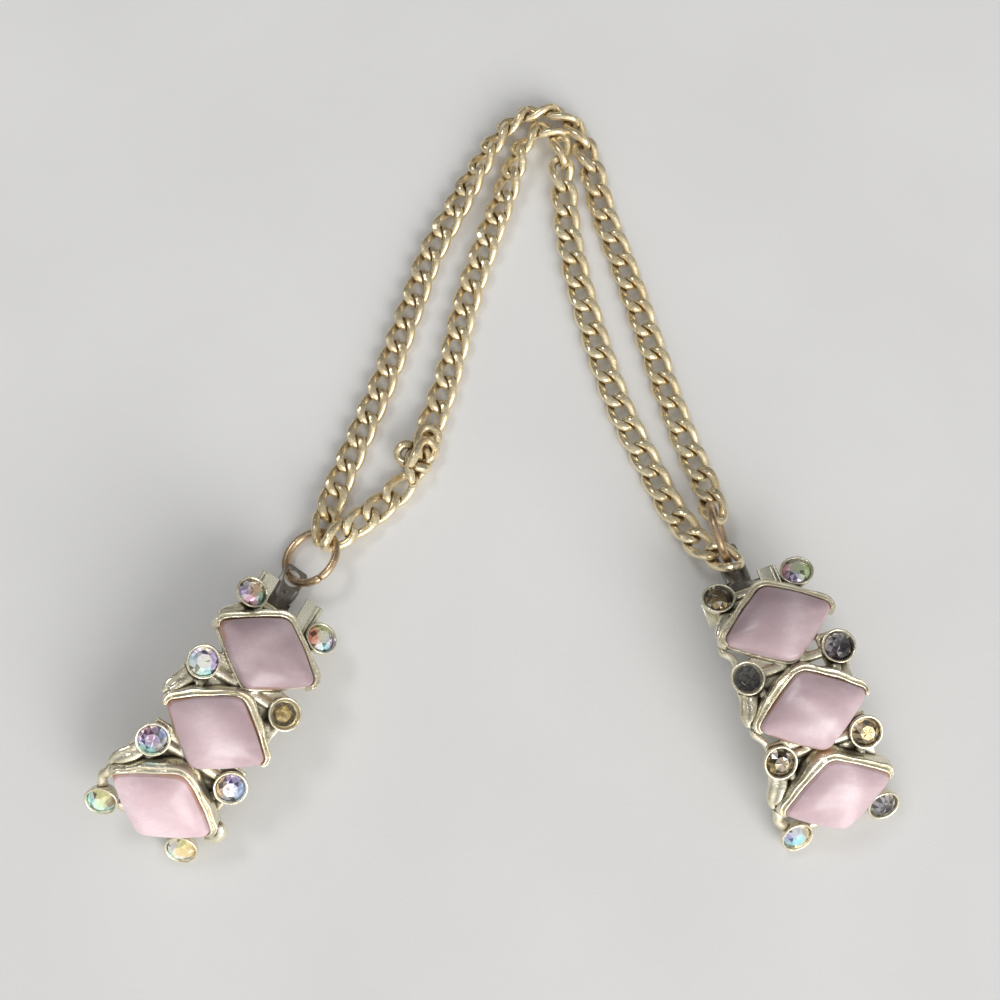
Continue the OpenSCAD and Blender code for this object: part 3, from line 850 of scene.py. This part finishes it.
def castBody(side, seed):
    shapes = [seatShape(i * layout["stoneStep"]) for i in range(3)]
    shapes += [barShape(along, out) for along, out in layout["rows"]]
    shapes += [footShape(number) for number in range(1, 9)]
    for hand in (-1, 1):
        for row in (0, 1, 2):
            shapes += leavesOf(row, hand, seed + 5 * row + hand)
        for row in casting["edgeArms"][side + (" outer" if hand < 0 else " inner")]:
            shapes.append(upperArm(row, hand, seed + 3 * row + hand))
        for row in (1, 2):
            # one gap of the right clip lets the light through
            openGap = (side, row, hand) == ("right", 1, 1)
            shapes.append(floorShape(row, hand, casting["holeFrom"] if openGap else 1.0))
    if side == "left":
        shapes.append(wallBlob(seed))
    shapes.append(spineShape())
    points, faces = joined(shapes)
    obj = newObject("castBody", toFrame(side, points), faces)
    remesh = obj.modifiers.new("oneCasting", "REMESH")
    remesh.mode = "VOXEL"
    remesh.voxel_size = casting["voxel"] * mm
    soften = obj.modifiers.new("soften", "SMOOTH")
    soften.factor = casting["softening"]
    soften.iterations = casting["softenings"]
    return baked(obj)


def buildSetting(side):
    seed = casting["seed"][side]
    body = softened(castBody(side, seed), 70)
    trim = [wallShape(i * layout["stoneStep"], seed + i) for i in range(3)]
    trim += [colletShape(number, seed) for number in range(1, 9)]
    points, faces = joined(trim)
    obj = merged(side + "Setting", [body, newObject("crisp", toFrame(side, points), faces, 50)])
    markRecess(obj, 2.2, 12)
    return fitted(obj, metals["castGold"], ornamentBody(side), "cast_metal", side + "_setting")


settings = {side: buildSetting(side) for side in sides}
print("castings:", [len(o.data.polygons) for o in settings.values()])


# ---- hinge bracket, pin, lever and spring

bracket = {
    "x": -1.0, "pinY": 6.2, "pinZ": -4.7, "pinRadius": 0.55, "earIn": 3.95, "earThick": 0.95,
    "shift": {"left": 0.0, "right": -0.5},    # the right one was soldered a little off
    "earStart": 2.9, "earEnd": {"left": (10.6, 10.6), "right": (8.9, 8.9)}, "earFoot": -6.25, "earTop": -1.5,
    # pressed along the ear's inner face and over its fold: outward from that face, height, half thickness
    "ribs": ((0.0, -3.3, 0.16), (0.0, -4.5, 0.12), (0.3, -1.5, 0.26), (0.85, -1.48, 0.24)),
    "plate": ((0.5, 5.5), (-2.5, -1.6)), "edge": 0.1,
    # the ears' upper edges are folded over into tabs: from and to, left ear and right ear
    "flange": {"left": ((2.4, 5.25), (2.4, 5.25)), "right": ((3.2, 5.2), (2.4, 4.6))}, "flangeLow": -2.0,
    "wing": {"right": ((-7.5, 3.9, -3.5), (-5.3, 7.3, -3.0))},    # one ear is bent out under its collet
}


def earShape(hand, end):
    # folded sheet, square at its free end and cut back below
    start, foot, top = bracket["earStart"], bracket["earFoot"], bracket["earTop"]
    outline = [(start, top), (start, foot + 1.6), (start + 1.2, foot), (end - 2.6, foot),
               (end - 0.5, foot + 2.0), (end, foot + 2.5), (end, top - 0.1), (end - 0.1, top)]
    inner = bracket["x"] + hand * bracket["earIn"]
    outer = inner + hand * bracket["earThick"]
    return loft([np.array([(x, y, z) for y, z in outline]) for x in (inner, outer)])


def buildBracket(side):
    x, inner = bracket["x"], bracket["earIn"]
    reach = inner + bracket["earThick"]
    (y0, y1), (z0, z1) = bracket["plate"]
    shapes = [boxShape((x - reach + 0.05, y0, z0), (x + reach - 0.05, y1, z1))]
    if side in bracket["wing"]:
        shapes.append(boxShape(*bracket["wing"][side]))
    for hand, end, fold in zip((-1, 1), bracket["earEnd"][side], bracket["flange"][side]):
        shapes.append(earShape(hand, end))
        start, (near, far) = bracket["earStart"], sorted(x + hand * r for r in fold)
        shapes.append(boxShape((near, start, bracket["flangeLow"]), (far, end, bracket["earTop"])))
        first, last = start + 0.4, end - 0.3
        for out, z, size in bracket["ribs"]:
            run = [(x + hand * (inner + out), first + (last - first) * k / 6, z) for k in range(7)]
            shapes.append(sweep(run, (size, size), 8))
    points, faces = joined(shapes)
    points[:, 0] += bracket["shift"][side]
    obj = newObject(side + "Bracket", toFrame(side, points), faces, 35)
    softened(bevelled(obj, bracket["edge"], 3, 30), 35)
    markRecess(obj, 1.5, 12, [settings[side]])
    markEdges(obj)
    fitted(obj, metals["paleBracket"], ornamentBody(side), "cast_metal", side + "_setting")


def onPin(points, x):
    # a shape made along z is laid along x, with its middle line in the pin's
    return np.column_stack((points[:, 2] + x, points[:, 0] + bracket["pinY"], points[:, 1] + bracket["pinZ"]))


def buildPin(side):
    length = 2 * (bracket["earIn"] + bracket["earThick"]) + 0.56
    r = bracket["pinRadius"]
    end = [(0.05, 0), (0.35, 0.0), (0.5, 0.06), (r, 0.16), (r, 0.5)]
    profile = end + [(r, length / 2)] + [(size, length - z) for size, z in end[::-1]]
    points, faces = lathe(profile, 32)
    obj = newObject(side + "HingePin", toFrame(side, onPin(points, bracket["x"] - length / 2)), faces)
    markRecess(obj, 1.0, 8)
    fitted(obj, metals["darkSteel"], ornamentBody(side), "dark_steel", side + "_hinge_pin")


def buildLever(side):
    obj = nodeCopy(side + "_lever", side + "Lever", 0.09)
    markEdges(obj)
    markRecess(obj, 1.6, 12)
    fitted(obj, metals["darkSteel"], chainBody, "dark_steel", side + "_lever")


springCoil = {"Turns": 9.5, "Radius": 0.83, "Length": 3.9, "Wire": 0.38, "Steps": 18, "Sides": 10}
springLeg = {
    "size": (0.19, 0.19),
    # y and z from the coil's end to where the leg rests
    "path": ((5.37, -4.7), (5.3, -5.0), (5.15, -5.3), (4.8, -5.45), (4.2, -5.4), (3.4, -5.3)),
}


def geometryTree(name, table):
    inputs = [("Geometry", "Geometry", None)]
    inputs += [(label, "Int" if isinstance(value, int) else "Float", value) for label, value in table.items()]
    inputs.append(("Material", "Material", None))
    return groupOf(name, inputs, [("Geometry", "Geometry")], "GeometryNodeTree")


def wireRing(src):
    ring = {"Resolution": src["Sides"], "Radius": times(src["Wire"], 0.5)}
    return fedNode("GeometryNodeCurvePrimitiveCircle", ring).outputs[0]


def painted(geometry, src, out):
    # each tree ends with real meshes and their material
    real = fedNode("GeometryNodeRealizeInstances", {0: geometry}).outputs[0]
    paint = fedNode("GeometryNodeSetMaterial", {"Geometry": real, "Material": src["Material"]})
    feed(out, {"Geometry": paint.outputs[0]})
    return out.id_data


def springTree():
    _, src, out = geometryTree("coilSpring", springCoil)
    coil = fedNode("GeometryNodeCurveSpiral", {
        "Resolution": src["Steps"], "Rotations": src["Turns"], "Start Radius": src["Radius"],
        "End Radius": src["Radius"], "Height": src["Length"]})
    body = fedNode("GeometryNodeCurveToMesh", {
        "Curve": coil.outputs[0], "Profile Curve": wireRing(src), "Fill Caps": True})
    return painted(body.outputs[0], src, out)


def withNodes(obj, tree, values):
    modifier = obj.modifiers.new(tree.name, "NODES")
    modifier.node_group = tree
    for item in tree.interface.items_tree:
        if item.in_out == "INPUT" and item.name in values:
            modifier[item.identifier] = values[item.name]
    return baked(obj)


coilTree = springTree()


def buildSpring(side):
    obj = linked(side + "Spring", bpy.data.meshes.new(side + "Spring"))
    withNodes(obj, coilTree, dict(springCoil, Material=metals["darkSteel"]))
    coil = np.array([v.co for v in obj.data.vertices])
    coilFaces = [tuple(f.vertices) for f in obj.data.polygons]
    bpy.data.objects.remove(obj)
    x = bracket["x"] - springCoil["Length"] / 2
    leg = [(x, y, z) for y, z in springLeg["path"]]
    points, faces = joined([(onPin(coil, x), coilFaces), sweep(leg, springLeg["size"], 10, up=(1, 0, 0))])
    obj = newObject(side + "Spring", toFrame(side, points), faces)
    markRecess(obj, 1.0, 8)
    fitted(obj, metals["darkSteel"], chainBody, "dark_steel", side + "_spring")


for side in sides:
    buildBracket(side)
    buildPin(side)
    buildLever(side)
    buildSpring(side)
print("clips built")


# ---- rhinestones and what is left in the empty cups

rhinestone = {
    # each ring of corners: radius, height, number, turn in parts of a step
    "star": (0.5, 0.505, 8, 0.5), "table": (1.02, 0.52, 8, 0.0), "middle": (1.5, 0.14, 8, 0.5),
    "girdle": (1.88, -0.3, 16, 0.0), "low": (1.88, -0.42, 16, 0.0), "culet": (0.4, -1.45, 16, 0.0),
}
rhinestoneSet = {"tilt": 0.035, "missing": {"left": 4, "right": 3}}    # tilt in its cup by chance, empty cups

# the colours that the coating and the foil show, with white and dark also used as painted reflections
filmAndReflection = {
    "tan": (0.78, 0.55, 0.36), "green": (0.34, 0.74, 0.58), "lavender": (0.56, 0.48, 0.86),
    "pink": (0.9, 0.5, 0.66), "white": (0.96, 0.95, 0.97), "olive": (0.7, 0.68, 0.34),
    "red": (0.92, 0.33, 0.22), "cyan": (0.4, 0.88, 0.96), "cream": (1.0, 0.96, 0.68),
    "blue": (0.42, 0.6, 0.96), "plum": (0.3, 0.18, 0.3), "grey": (0.6, 0.6, 0.64),
    "brown": (0.2, 0.14, 0.07), "gold": (0.72, 0.55, 0.24), "dark": (0.05, 0.042, 0.045),
    "lime": (0.7, 0.84, 0.5), "champagne": (0.62, 0.52, 0.33),
}
rhinestoneLooks = {
    # colours and painted reflections round the stone by their angle in the picture (0 right, 90 up), middle,
    # contrast, depth, gloss
    "left1": ({50: "tan", -20: "green", 180: "lavender", 250: "pink", 130: "white"}, "tan", 0.45, 1, 0.8),
    "left2": ({80: "lime", 170: "red", 265: "cyan", 0: "lavender", 215: "red"}, "cream", 0.25, 1.2, 0.9),
    "left3": ({110: "lavender", 180: "blue", 0: "lavender", 270: "cyan", 230: "cream"},
              "cream", 0.15, 1.3, 1.0),
    "left5": ({110: "pink", 50: "blue", 180: "lavender", 250: "cyan", 330: "grey"},
              "plum", 0.35, 0.95, 0.9),
    "left6": ({20: "blue", 80: "lavender", 180: "tan", 270: "grey", 320: "blue"}, "grey", 0.3, 0.9, 0.6),
    "left7": ({90: "olive", 10: "brown", 200: "cyan", 250: "cyan", 290: "cyan"}, "lime", 0.2, 1.25, 1.0),
    "left8": ({90: "olive", 20: "gold", 160: "white", 240: "cyan", 280: "white"}, "gold", 0.2, 1.3, 1.0),
    "right1": ({90: "dark", 0: "brown", 180: "champagne", 270: "gold", 135: "brown"},
               "brown", 0.75, 0.72, 0.35),
    "right2": ({0: "lime", 90: "grey", 180: "pink", 250: "lavender", 320: "lime"}, "lime", 0.15, 1, 0.7),
    "right4": ({90: "grey", 0: "dark", 180: "white", 270: "dark", 225: "plum"}, "dark", 0.75, 0.75, 0.4),
    "right5": ({90: "dark", 0: "champagne", 180: "gold", 270: "brown", 135: "brown"},
               "brown", 0.75, 0.72, 0.2),
    "right6": ({90: "champagne", 0: "gold", 180: "champagne", 270: "brown", 40: "brown"},
               "gold", 0.7, 0.82, 0.25),
    "right7": ({30: "gold", 90: "white", 180: "lavender", 220: "cyan", 300: "gold"}, "cyan", 0.25, 1, 0.9),
    "right8": ({90: "white", 0: "dark", 180: "grey", 270: "dark", 45: "champagne"}, "dark", 0.7, 0.8, 0.4),
}


def rhinestoneShape():
    points, starts = [(0, 0, rhinestone["table"][1])], []
    for radius, height, count, offset in rhinestone.values():
        starts.append(len(points))
        turns = [2 * math.pi * (k + offset) / count for k in range(count)]
        points += [(radius * math.cos(t), radius * math.sin(t), height) for t in turns]
    star, table, middle, girdle, low, culet = starts
    faces, zones = [], []

    def face(zone, *corners):
        faces.append(corners)
        zones.append(zone)

    for k in range(8):
        n, p = (k + 1) % 8, (k - 1) % 8
        face(0, 0, star + p, table + k)
        face(0, 0, table + k, star + k)
        face(1, star + k, table + k, table + n)
        face(2, table + k, middle + k, table + n)
        face(3, table + k, middle + p, girdle + 2 * k)
        face(3, table + k, girdle + 2 * k, middle + k)
        face(4, middle + k, girdle + 2 * k, girdle + 2 * k + 1)
        face(4, middle + k, girdle + 2 * k + 1, girdle + (2 * k + 2) % 16)
    for k in range(16):
        n = (k + 1) % 16
        face(5, girdle + k, low + k, low + n, girdle + n)
        face(5, low + k, culet + k, culet + n, low + n)
    face(5, *[culet + k for k in range(15, -1, -1)])
    return np.array(points, float), faces, zones


def facetTone(look, turn, centre, zone, seed):
    around, heart, contrast, depth = look[:4]
    picks = np.random.default_rng(seed)
    angle = math.degrees(math.atan2(centre[1], centre[0])) + turn
    total, weight = np.zeros(3), 0.0
    for place, name in around.items():
        w = max(0.02, math.cos(math.radians(angle - place))) ** 4
        total += np.array(filmAndReflection[name]) * w
        weight += w
    # the table and the star take the heart's colour, and each facet is darker or brighter by chance, as
    # painted dark reflections and painted glints
    inward = (0.85, 0.5, 0.15, 0.1, 0.0, 0.0)[zone]
    colour = total / weight * (1 - inward) + np.array(filmAndReflection[heart]) * inward
    loose = 0.25 if zone < 2 else 1.0
    colour = colour * (1 - contrast * loose * picks.random() ** 1.5)
    if picks.random() < 0.12 * loose:
        colour = colour * 0.4 + 0.6
    if picks.random() < (0.18 + contrast * 0.25) * loose:
        colour = colour * 0.25
    return np.clip(colour * depth, 0, 1)


def buildRhinestone(side, number):
    along, out = colletPlace(number)
    points, faces, zones = rhinestoneShape()
    spin = rng.uniform(0, math.pi / 4)
    tilt = rng.normal(0, rhinestoneSet["tilt"], 2)
    spun = points @ np.array(Matrix.Rotation(spin, 3, "Z")).T
    place = spun.copy()
    place[:, 2] += place[:, 0] * tilt[0] + place[:, 1] * tilt[1]
    place[:, 0] += out
    obj = newObject(side + "Rhinestone" + str(number), toFrame(side, onArch(along, place)), faces, 1)
    look = rhinestoneLooks[side + str(number)]
    colours = []
    for i, polygon in enumerate(obj.data.polygons):
        polygon.use_smooth = False
        centre = spun[list(faces[i])].mean(0)
        colour = facetTone(look, layout[side][1], centre, zones[i], 1000 * number + i + len(side))
        colours += [(*colour, look[4])] * polygon.loop_total
    store(obj.data, "facetColour", colours, "FLOAT_COLOR", "CORNER")
    fitted(obj, foiledGlass, ornamentBody(side), "rhinestone", side + "_rhinestone_" + str(number))


def buildResidue(side, number, what, material, lining, lump, seed):
    # what is left in an empty cup: a lining up the cone or a lump at the bottom
    along, out = colletPlace(number)
    cup = [(0.72, -1.7), (0.72 + 1.26 * lining, -1.62 + 1.24 * lining),
           (0.62 + 1.24 * lining, -1.55 + 1.24 * lining), (0.5 + lump * 0.8, -1.42 + lump * 0.5),
           (0.36 + lump * 0.5, -1.4 + lump * 0.75), (0.16 + lump * 0.2, -1.38 + lump * 0.95),
           (0.03, -1.37 + lump)]
    points, faces = lathe(cup, 36)
    points = wobble(points, 0.13, 1.3, seed)
    points[:, 0] += out
    obj = newObject(side + what, toFrame(side, onArch(along, points)), faces, 80)
    fitted(obj, material, ornamentBody(side), "cast_metal", side + "_setting")


for side in sides:
    for number in range(1, 9):
        if number != rhinestoneSet["missing"][side]:
            buildRhinestone(side, number)
# the left cup's dark lining is tarnish and painted shade for the cup's deep inside
buildResidue("left", 4, "CupTarnishAndShade", bronzeTarnishAndShade, 0.74, 0.05, 4.0)
buildResidue("left", 4, "CupGlue", oldGlue, 0.22, 0.8, 6.0)
buildResidue("right", 3, "CupTarnishAndShade", blackCup, 0.84, 0.3, 8.0)
print("rhinestones set")


# ---- jump rings: an open ring of wire with its butt seam

jumpRing = {
    "radius": 4.1, "wire": 1.18, "seam": 0.05, "steps": 120, "sides": 20,
    "holeY": 13.75, "tailZ": -6.2, "steel": 0.5,
    "left": (-0.1, 50, 3, -28),    # crossing along the tail, heading, rise and lean, as in the CAD
    "right": (-0.3, 112, 24, 72),
    "seamAt": {"left": 250, "right": 300}, "seed": {"left": 2.0, "right": 5.0},
}


def buildJumpRing(side):
    offset, heading, rise, lean = jumpRing[side]
    r, half = jumpRing["radius"], jumpRing["wire"] / 2
    gap = math.degrees(jumpRing["seam"] / r)
    turns = np.radians(np.linspace(gap / 2, 360 - gap / 2, jumpRing["steps"]) + jumpRing["seamAt"][side])
    path = [(r * math.cos(t), r * math.sin(t), 0.0) for t in turns]
    # the cut ends are a little rounded and one stands a touch proud
    sizes = np.full((len(path), 2), half)
    sizes[[0, -1]] *= 0.8
    sizes[[1, -2]] *= 0.96
    path[-1] = tuple(np.array(path[-1]) * 1.01)
    points, faces = sweep(path, sizes, jumpRing["sides"])
    points = wobble(points, 0.03, 0.45, jumpRing["seed"][side])
    points[:, 0] += r
    turned = rotationOf("ZYX", heading, -rise, lean)
    height = jumpRing["tailZ"] - jumpRing["steel"] / 2
    hole = toFrame(side, [(bracket["x"], jumpRing["holeY"] + offset, height)])[0]
    obj = newObject(side + "JumpRing", (points @ turned.T) * mm + hole, faces, 50)
    markRecess(obj, 1.2, 8)
    fitted(obj, metals["ringBrass"], chainBody, "ring_brass", side + "_jump_ring")


for side in sides:
    buildJumpRing(side)
print("jump rings")


# ---- curb chain: one link shape, set along each strand's route by geometry nodes

chainLink = {
    "Half Length": 2.52, "Half Width": 1.5, "Swing": 0.68, "Wire": 1.31, "Flat": 1.1,
    "Steps": 30, "Sides": 12, "Tilt": 3.0, "Seed": 5,
}
strands = {
    "wire": 1.26, "halfWidth": 1.54, "swing": 0.5, "floorGap": 0.02, "halfShift": 0.25, "leftLinks": 15,
    "rollGain": -1.25,    # on the bends the links stand nearly on edge, turned away from the window
    # a kink near the left end: number along the strand, shift x, y, z, then roll, tip and turn in degrees
    "kink": {"innerChain": ((4, 0.1, 0.1, 0.85, 40, 0, 8), (4.4, -1.05, -0.45, 1.0, 30, -12, 78),
                            (4.62, -0.15, -0.9, 1.55, 62, 8, -24), (5, 0.1, -0.3, 0.95, 40, 0, -12))},
    # how light the links are at the left end and the right one, and by how much they differ by chance
    "tones": {"outerChain": (0.1, 0.75), "innerChain": (0.6, 0.95)}, "toneSpread": 0.3,
    # number of links, then x, y and where they aren't 0 lift off the surface and roll, from the left ring on
    "outerChain": (38, (
        (-25.6, -4.6, 0.1, 44), (-24.2, 0.6, 0, 12), (-22.8, 4.3), (-20.5, 10.2), (-17.9, 16.8),
        (-15.3, 24.5), (-12.9, 32), (-10.6, 38.9), (-7, 46, 0, 10), (-4.8, 50.3, 0, 20),
        (-2.5, 54.6, 0, 32), (-0.5, 58, 0, 40), (2, 60.8, 0, 45), (4.9, 62.4, 0, 45), (7.9, 62.6, 0, 45),
        (10.7, 61.1, 0, 45), (12.4, 58.6, 0, 40), (13.4, 55.9, 0, 30), (14.3, 52.8, 0, 15), (16.1, 45.3),
        (18.6, 37.7), (20.9, 30.2), (23.3, 22.1), (25.5, 14.5), (28.2, 6.7), (29.7, 2.6, 0.7, 0),
        (30.7, -2.1, 2.3, 5))),
    "innerChain": (39, (
        (-23.3, -6.3, 1.1, 46), (-18.6, -2.4, 0.1, 10), (-15.2, 0.8), (-12.8, 3.8), (-11.4, 7.1),
        (-10.6, 10.5), (-9.3, 13.8), (-7.2, 21.4), (-5.6, 28.8), (-3.3, 36.9), (-0.4, 45.3, 0, 10),
        (0.9, 49.2, 0, 20), (1.9, 52.3, 0, 32), (2.9, 55.2, 0, 40), (4.3, 57.7, 0, 45),
        (6.1, 59.1, 0, 45), (8, 59, 0, 45), (9.3, 57.4, 0, 45), (9.7, 55.1, 0, 40), (9.5, 53, 0, 30),
        (9.8, 50.2, 0, 15), (10.4, 43), (11.7, 35.3), (13.6, 27.7), (15.7, 20.3), (18.2, 12.9),
        (21.5, 5.8), (24.8, -1.3, 0.25, 0), (26.7, -4.6, 1.1, 0), (28.5, -7.6, 2.6, 0),
        (31.7, -10, 4.2, 0))),
}


def strandPath(route):
    raised = []
    for x, y, lift, roll in smoothRun([(*knot, 0, 0)[:4] for knot in route], 8):
        roll *= strands["rollGain"] if y > 40 else 1.0
        r = math.radians(roll)
        edge = strands["halfWidth"] * abs(math.sin(r)) + strands["swing"] * math.cos(r)
        raised.append((x, y, strands["wire"] / 2 + edge + strands["floorGap"] + lift, roll))
    return np.array(raised)


def linkPlaces(name):
    count, route = strands[name]
    path = strandPath(route)
    run = np.concatenate(([0], np.cumsum(np.linalg.norm(np.diff(path[:, :3], axis=0), axis=1))))
    total, first = run[-1], strands["leftLinks"]
    # the right half starts a hair early, as its CAD solid does
    start = total * first / (count - 1) - strands["halfShift"]

    def at(s):
        return np.array([np.interp(s, run, path[:, k]) for k in range(4)])

    places, turns = [], []
    kinked = {row[0]: row[1:] for row in strands["kink"].get(name, ())}
    for i in sorted({*range(count), *kinked}):
        s = total * i / (count - 1)
        if i >= first:
            s = start + (total - start) * (i - first) / (count - 1 - first)
        here = at(s)
        ahead = at(min(s + 0.5, total))[:3] - at(max(s - 0.5, 0))[:3]
        turn = np.array((math.radians(here[3]), -math.atan2(ahead[2], math.hypot(ahead[0], ahead[1])),
                         math.atan2(ahead[1], ahead[0])))
        bend = np.array(kinked.get(i, np.zeros(6)))
        places.append((here[:3] + bend[:3] - np.array(layout["middle"])) * mm)
        turns.append(turn + np.radians(bend[3:]))
    return np.array(places), np.array(turns)


def chainTree():
    tree, src, out = geometryTree("curbChain", chainLink)
    here = put(tree, "ShaderNodeSeparateXYZ", {0: put(tree, "GeometryNodeInputPosition").outputs[0]}).outputs

    def moved(geometry, x, y, z):
        place = fedNode("ShaderNodeCombineXYZ", {0: x, 1: y, 2: z}).outputs[0]
        return fedNode("GeometryNodeSetPosition", {"Geometry": geometry, "Position": place}).outputs[0]

    # the middle line of the wire: an oval whose sides swing over and under
    oval = fedNode("GeometryNodeCurvePrimitiveCircle", {"Resolution": src["Steps"], "Radius": 1.0}).outputs[0]
    crossing = times(times(here[0], here[1]), -2.0)
    bent = moved(oval, times(here[0], src["Half Length"]), times(here[1], src["Half Width"]),
                 times(crossing, src["Swing"]))
    body = fedNode("GeometryNodeCurveToMesh", {"Curve": bent, "Profile Curve": wireRing(src)}).outputs[0]
    # the high spots are filed flat, as on the real links
    capped = mathNode("MINIMUM", here[2], src["Flat"])
    capped = mathNode("MAXIMUM", capped, times(src["Flat"], -1.0))
    filed = moved(body, here[0], here[1], capped)
    link = fedNode("GeometryNodeTransform", {"Geometry": filed, "Scale": (mm, mm, mm)}).outputs[0]
    # one link at every point, turned as its point says and tipped a little by chance
    turn = put(tree, "GeometryNodeInputNamedAttribute", {"Name": "turn"}, data_type="FLOAT_VECTOR").outputs[0]
    tip = mathNode("RADIANS", src["Tilt"])
    chance = fedNode("FunctionNodeRandomValue", {0: times(tip, -1.0), 1: tip, "Seed": src["Seed"]},
                     data_type="FLOAT_VECTOR").outputs[0]
    added = fedNode("ShaderNodeVectorMath", {0: turn, 1: chance}, operation="ADD").outputs[0]
    rotation = fedNode("FunctionNodeEulerToRotation", {0: added}).outputs[0]
    copies = fedNode("GeometryNodeInstanceOnPoints", {
        "Points": src["Geometry"], "Instance": link, "Rotation": rotation}).outputs[0]
    return painted(copies, src, out)


curbTree = chainTree()


def buildStrand(name, nodes, seed):
    places, turns = linkPlaces(name)
    mesh = bpy.data.meshes.new(name)
    mesh.from_pydata([tuple(p) for p in places], [], [])
    store(mesh, "turn", turns, "FLOAT_VECTOR")
    spread = strands["toneSpread"]
    tones = np.linspace(*strands["tones"][name], len(places)) + rng.uniform(-spread, spread, len(places))
    store(mesh, "linkTone", np.clip(tones, 0, 1))
    obj = linked(name, mesh)
    withNodes(obj, curbTree, dict(chainLink, Seed=seed, Material=metals["chainGold"]))
    softened(obj, 40)
    markRecess(obj, 1.6, 12)
    return fitted(obj, None, chainBody, "chain_gold", *nodes)


outerStrand = buildStrand("outerChain", ("outer_chain_left", "outer_chain_right"), 5)
innerStrand = buildStrand("innerChain", ("inner_chain_left", "inner_chain_right"), 8)
print("chain:", len(outerStrand.data.polygons), len(innerStrand.data.polygons))


# ---- surface, light and camera

studio = {
    "floorSize": 12.0, "floor": (0.84, 0.838, 0.83, 1), "floorDark": (0.8, 0.797, 0.794, 1), "world": 0.43,
    # place, what it points at, width (metres), power, colour
    "lights": {"windowLight": ((0.62, -1.06, 0.74), (0.0, -0.01, 0.0), 1.0, 11.5, (1.0, 0.99, 0.97)),
               "roomLight": ((-0.5, 0.55, 1.1), (0.0, 0.0, 0.0), 0.4, 2.6, (0.95, 0.97, 1.0))},
    # where the window is, and the room's light from the side away from it to the side toward it
    "window": (0.25, -0.9, 0.36),
    "room": ((0.0, (0.16, 0.16, 0.17, 1)), (0.4, (0.45, 0.455, 0.46, 1)), (0.66, (0.95, 0.95, 0.94, 1)),
             (1.0, (2.5, 2.46, 2.4, 1))),
    "cameraAt": (0.42, -64.62, 207.8), "cameraTilt": 15.5, "lens": 52.78, "sensor": 36,
}


def buildFloor():
    size = studio["floorSize"]
    corners = [(-size, -size, 0), (size, -size, 0), (size, size, 0), (-size, size, 0)]
    obj = newObject("floor", corners, [(0, 1, 2, 3)])
    material, tree, shader = newMaterial("paleCard")
    place = objectCoordinates(tree)
    soft = noiseNode(place, 28.0, 3.0, 0.5)
    tooth = noiseNode(place, 2600.0, 3.0, 0.6)
    base = rampOf(soft, [(0.3, studio["floorDark"]), (0.7, studio["floor"])])
    feed(shader, {
        "Base Color": mixColour(0.06, base, tooth, "MULTIPLY"), "Normal": bumpFrom(tooth, 0.02),
        "Roughness": 0.7, "Specular IOR Level": 0.25})
    obj.data.materials.append(material)


def areaLight(name, place, target, size, power, colour):
    data = bpy.data.lights.new(name, "AREA")
    data.shape = "DISK"
    data.size = size
    data.energy = power
    data.color = colour
    obj = linked(name, data)
    obj.location = place
    obj.rotation_euler = (Vector(target) - Vector(place)).to_track_quat("-Z", "Y").to_euler()


def buildWorld():
    # a pale room: brightest low down toward the window, dim behind and overhead
    world = bpy.data.worlds.new("paleRoom")
    bpy.context.scene.world = world
    world.use_nodes = True
    tree = world.node_tree
    tree.nodes.clear()
    view = put(tree, "ShaderNodeTexCoord").outputs["Generated"]
    toward = put(tree, "ShaderNodeVectorMath", {0: view, 1: studio["window"]}, operation="DOT_PRODUCT")
    spread = plus(times(toward.outputs["Value"], 0.5), 0.5)
    light = rampOf(spread, studio["room"], True)
    back = put(tree, "ShaderNodeBackground", {"Strength": studio["world"], "Color": light})
    put(tree, "ShaderNodeOutputWorld", {0: back.outputs[0]})


buildFloor()
buildWorld()
for name, values in studio["lights"].items():
    areaLight(name, *values)

cameraData = bpy.data.cameras.new("camera")
cameraData.lens = studio["lens"]
cameraData.sensor_width = studio["sensor"]
cameraData.sensor_fit = "HORIZONTAL"
cameraData.clip_start = 0.005
camera = linked("camera", cameraData)
camera.location = tuple(v * mm for v in studio["cameraAt"])
camera.rotation_euler = (math.radians(studio["cameraTilt"]), 0, 0)
bpy.context.scene.camera = camera
bpy.context.scene.view_settings.view_transform = "Standard"
print("studio ready")
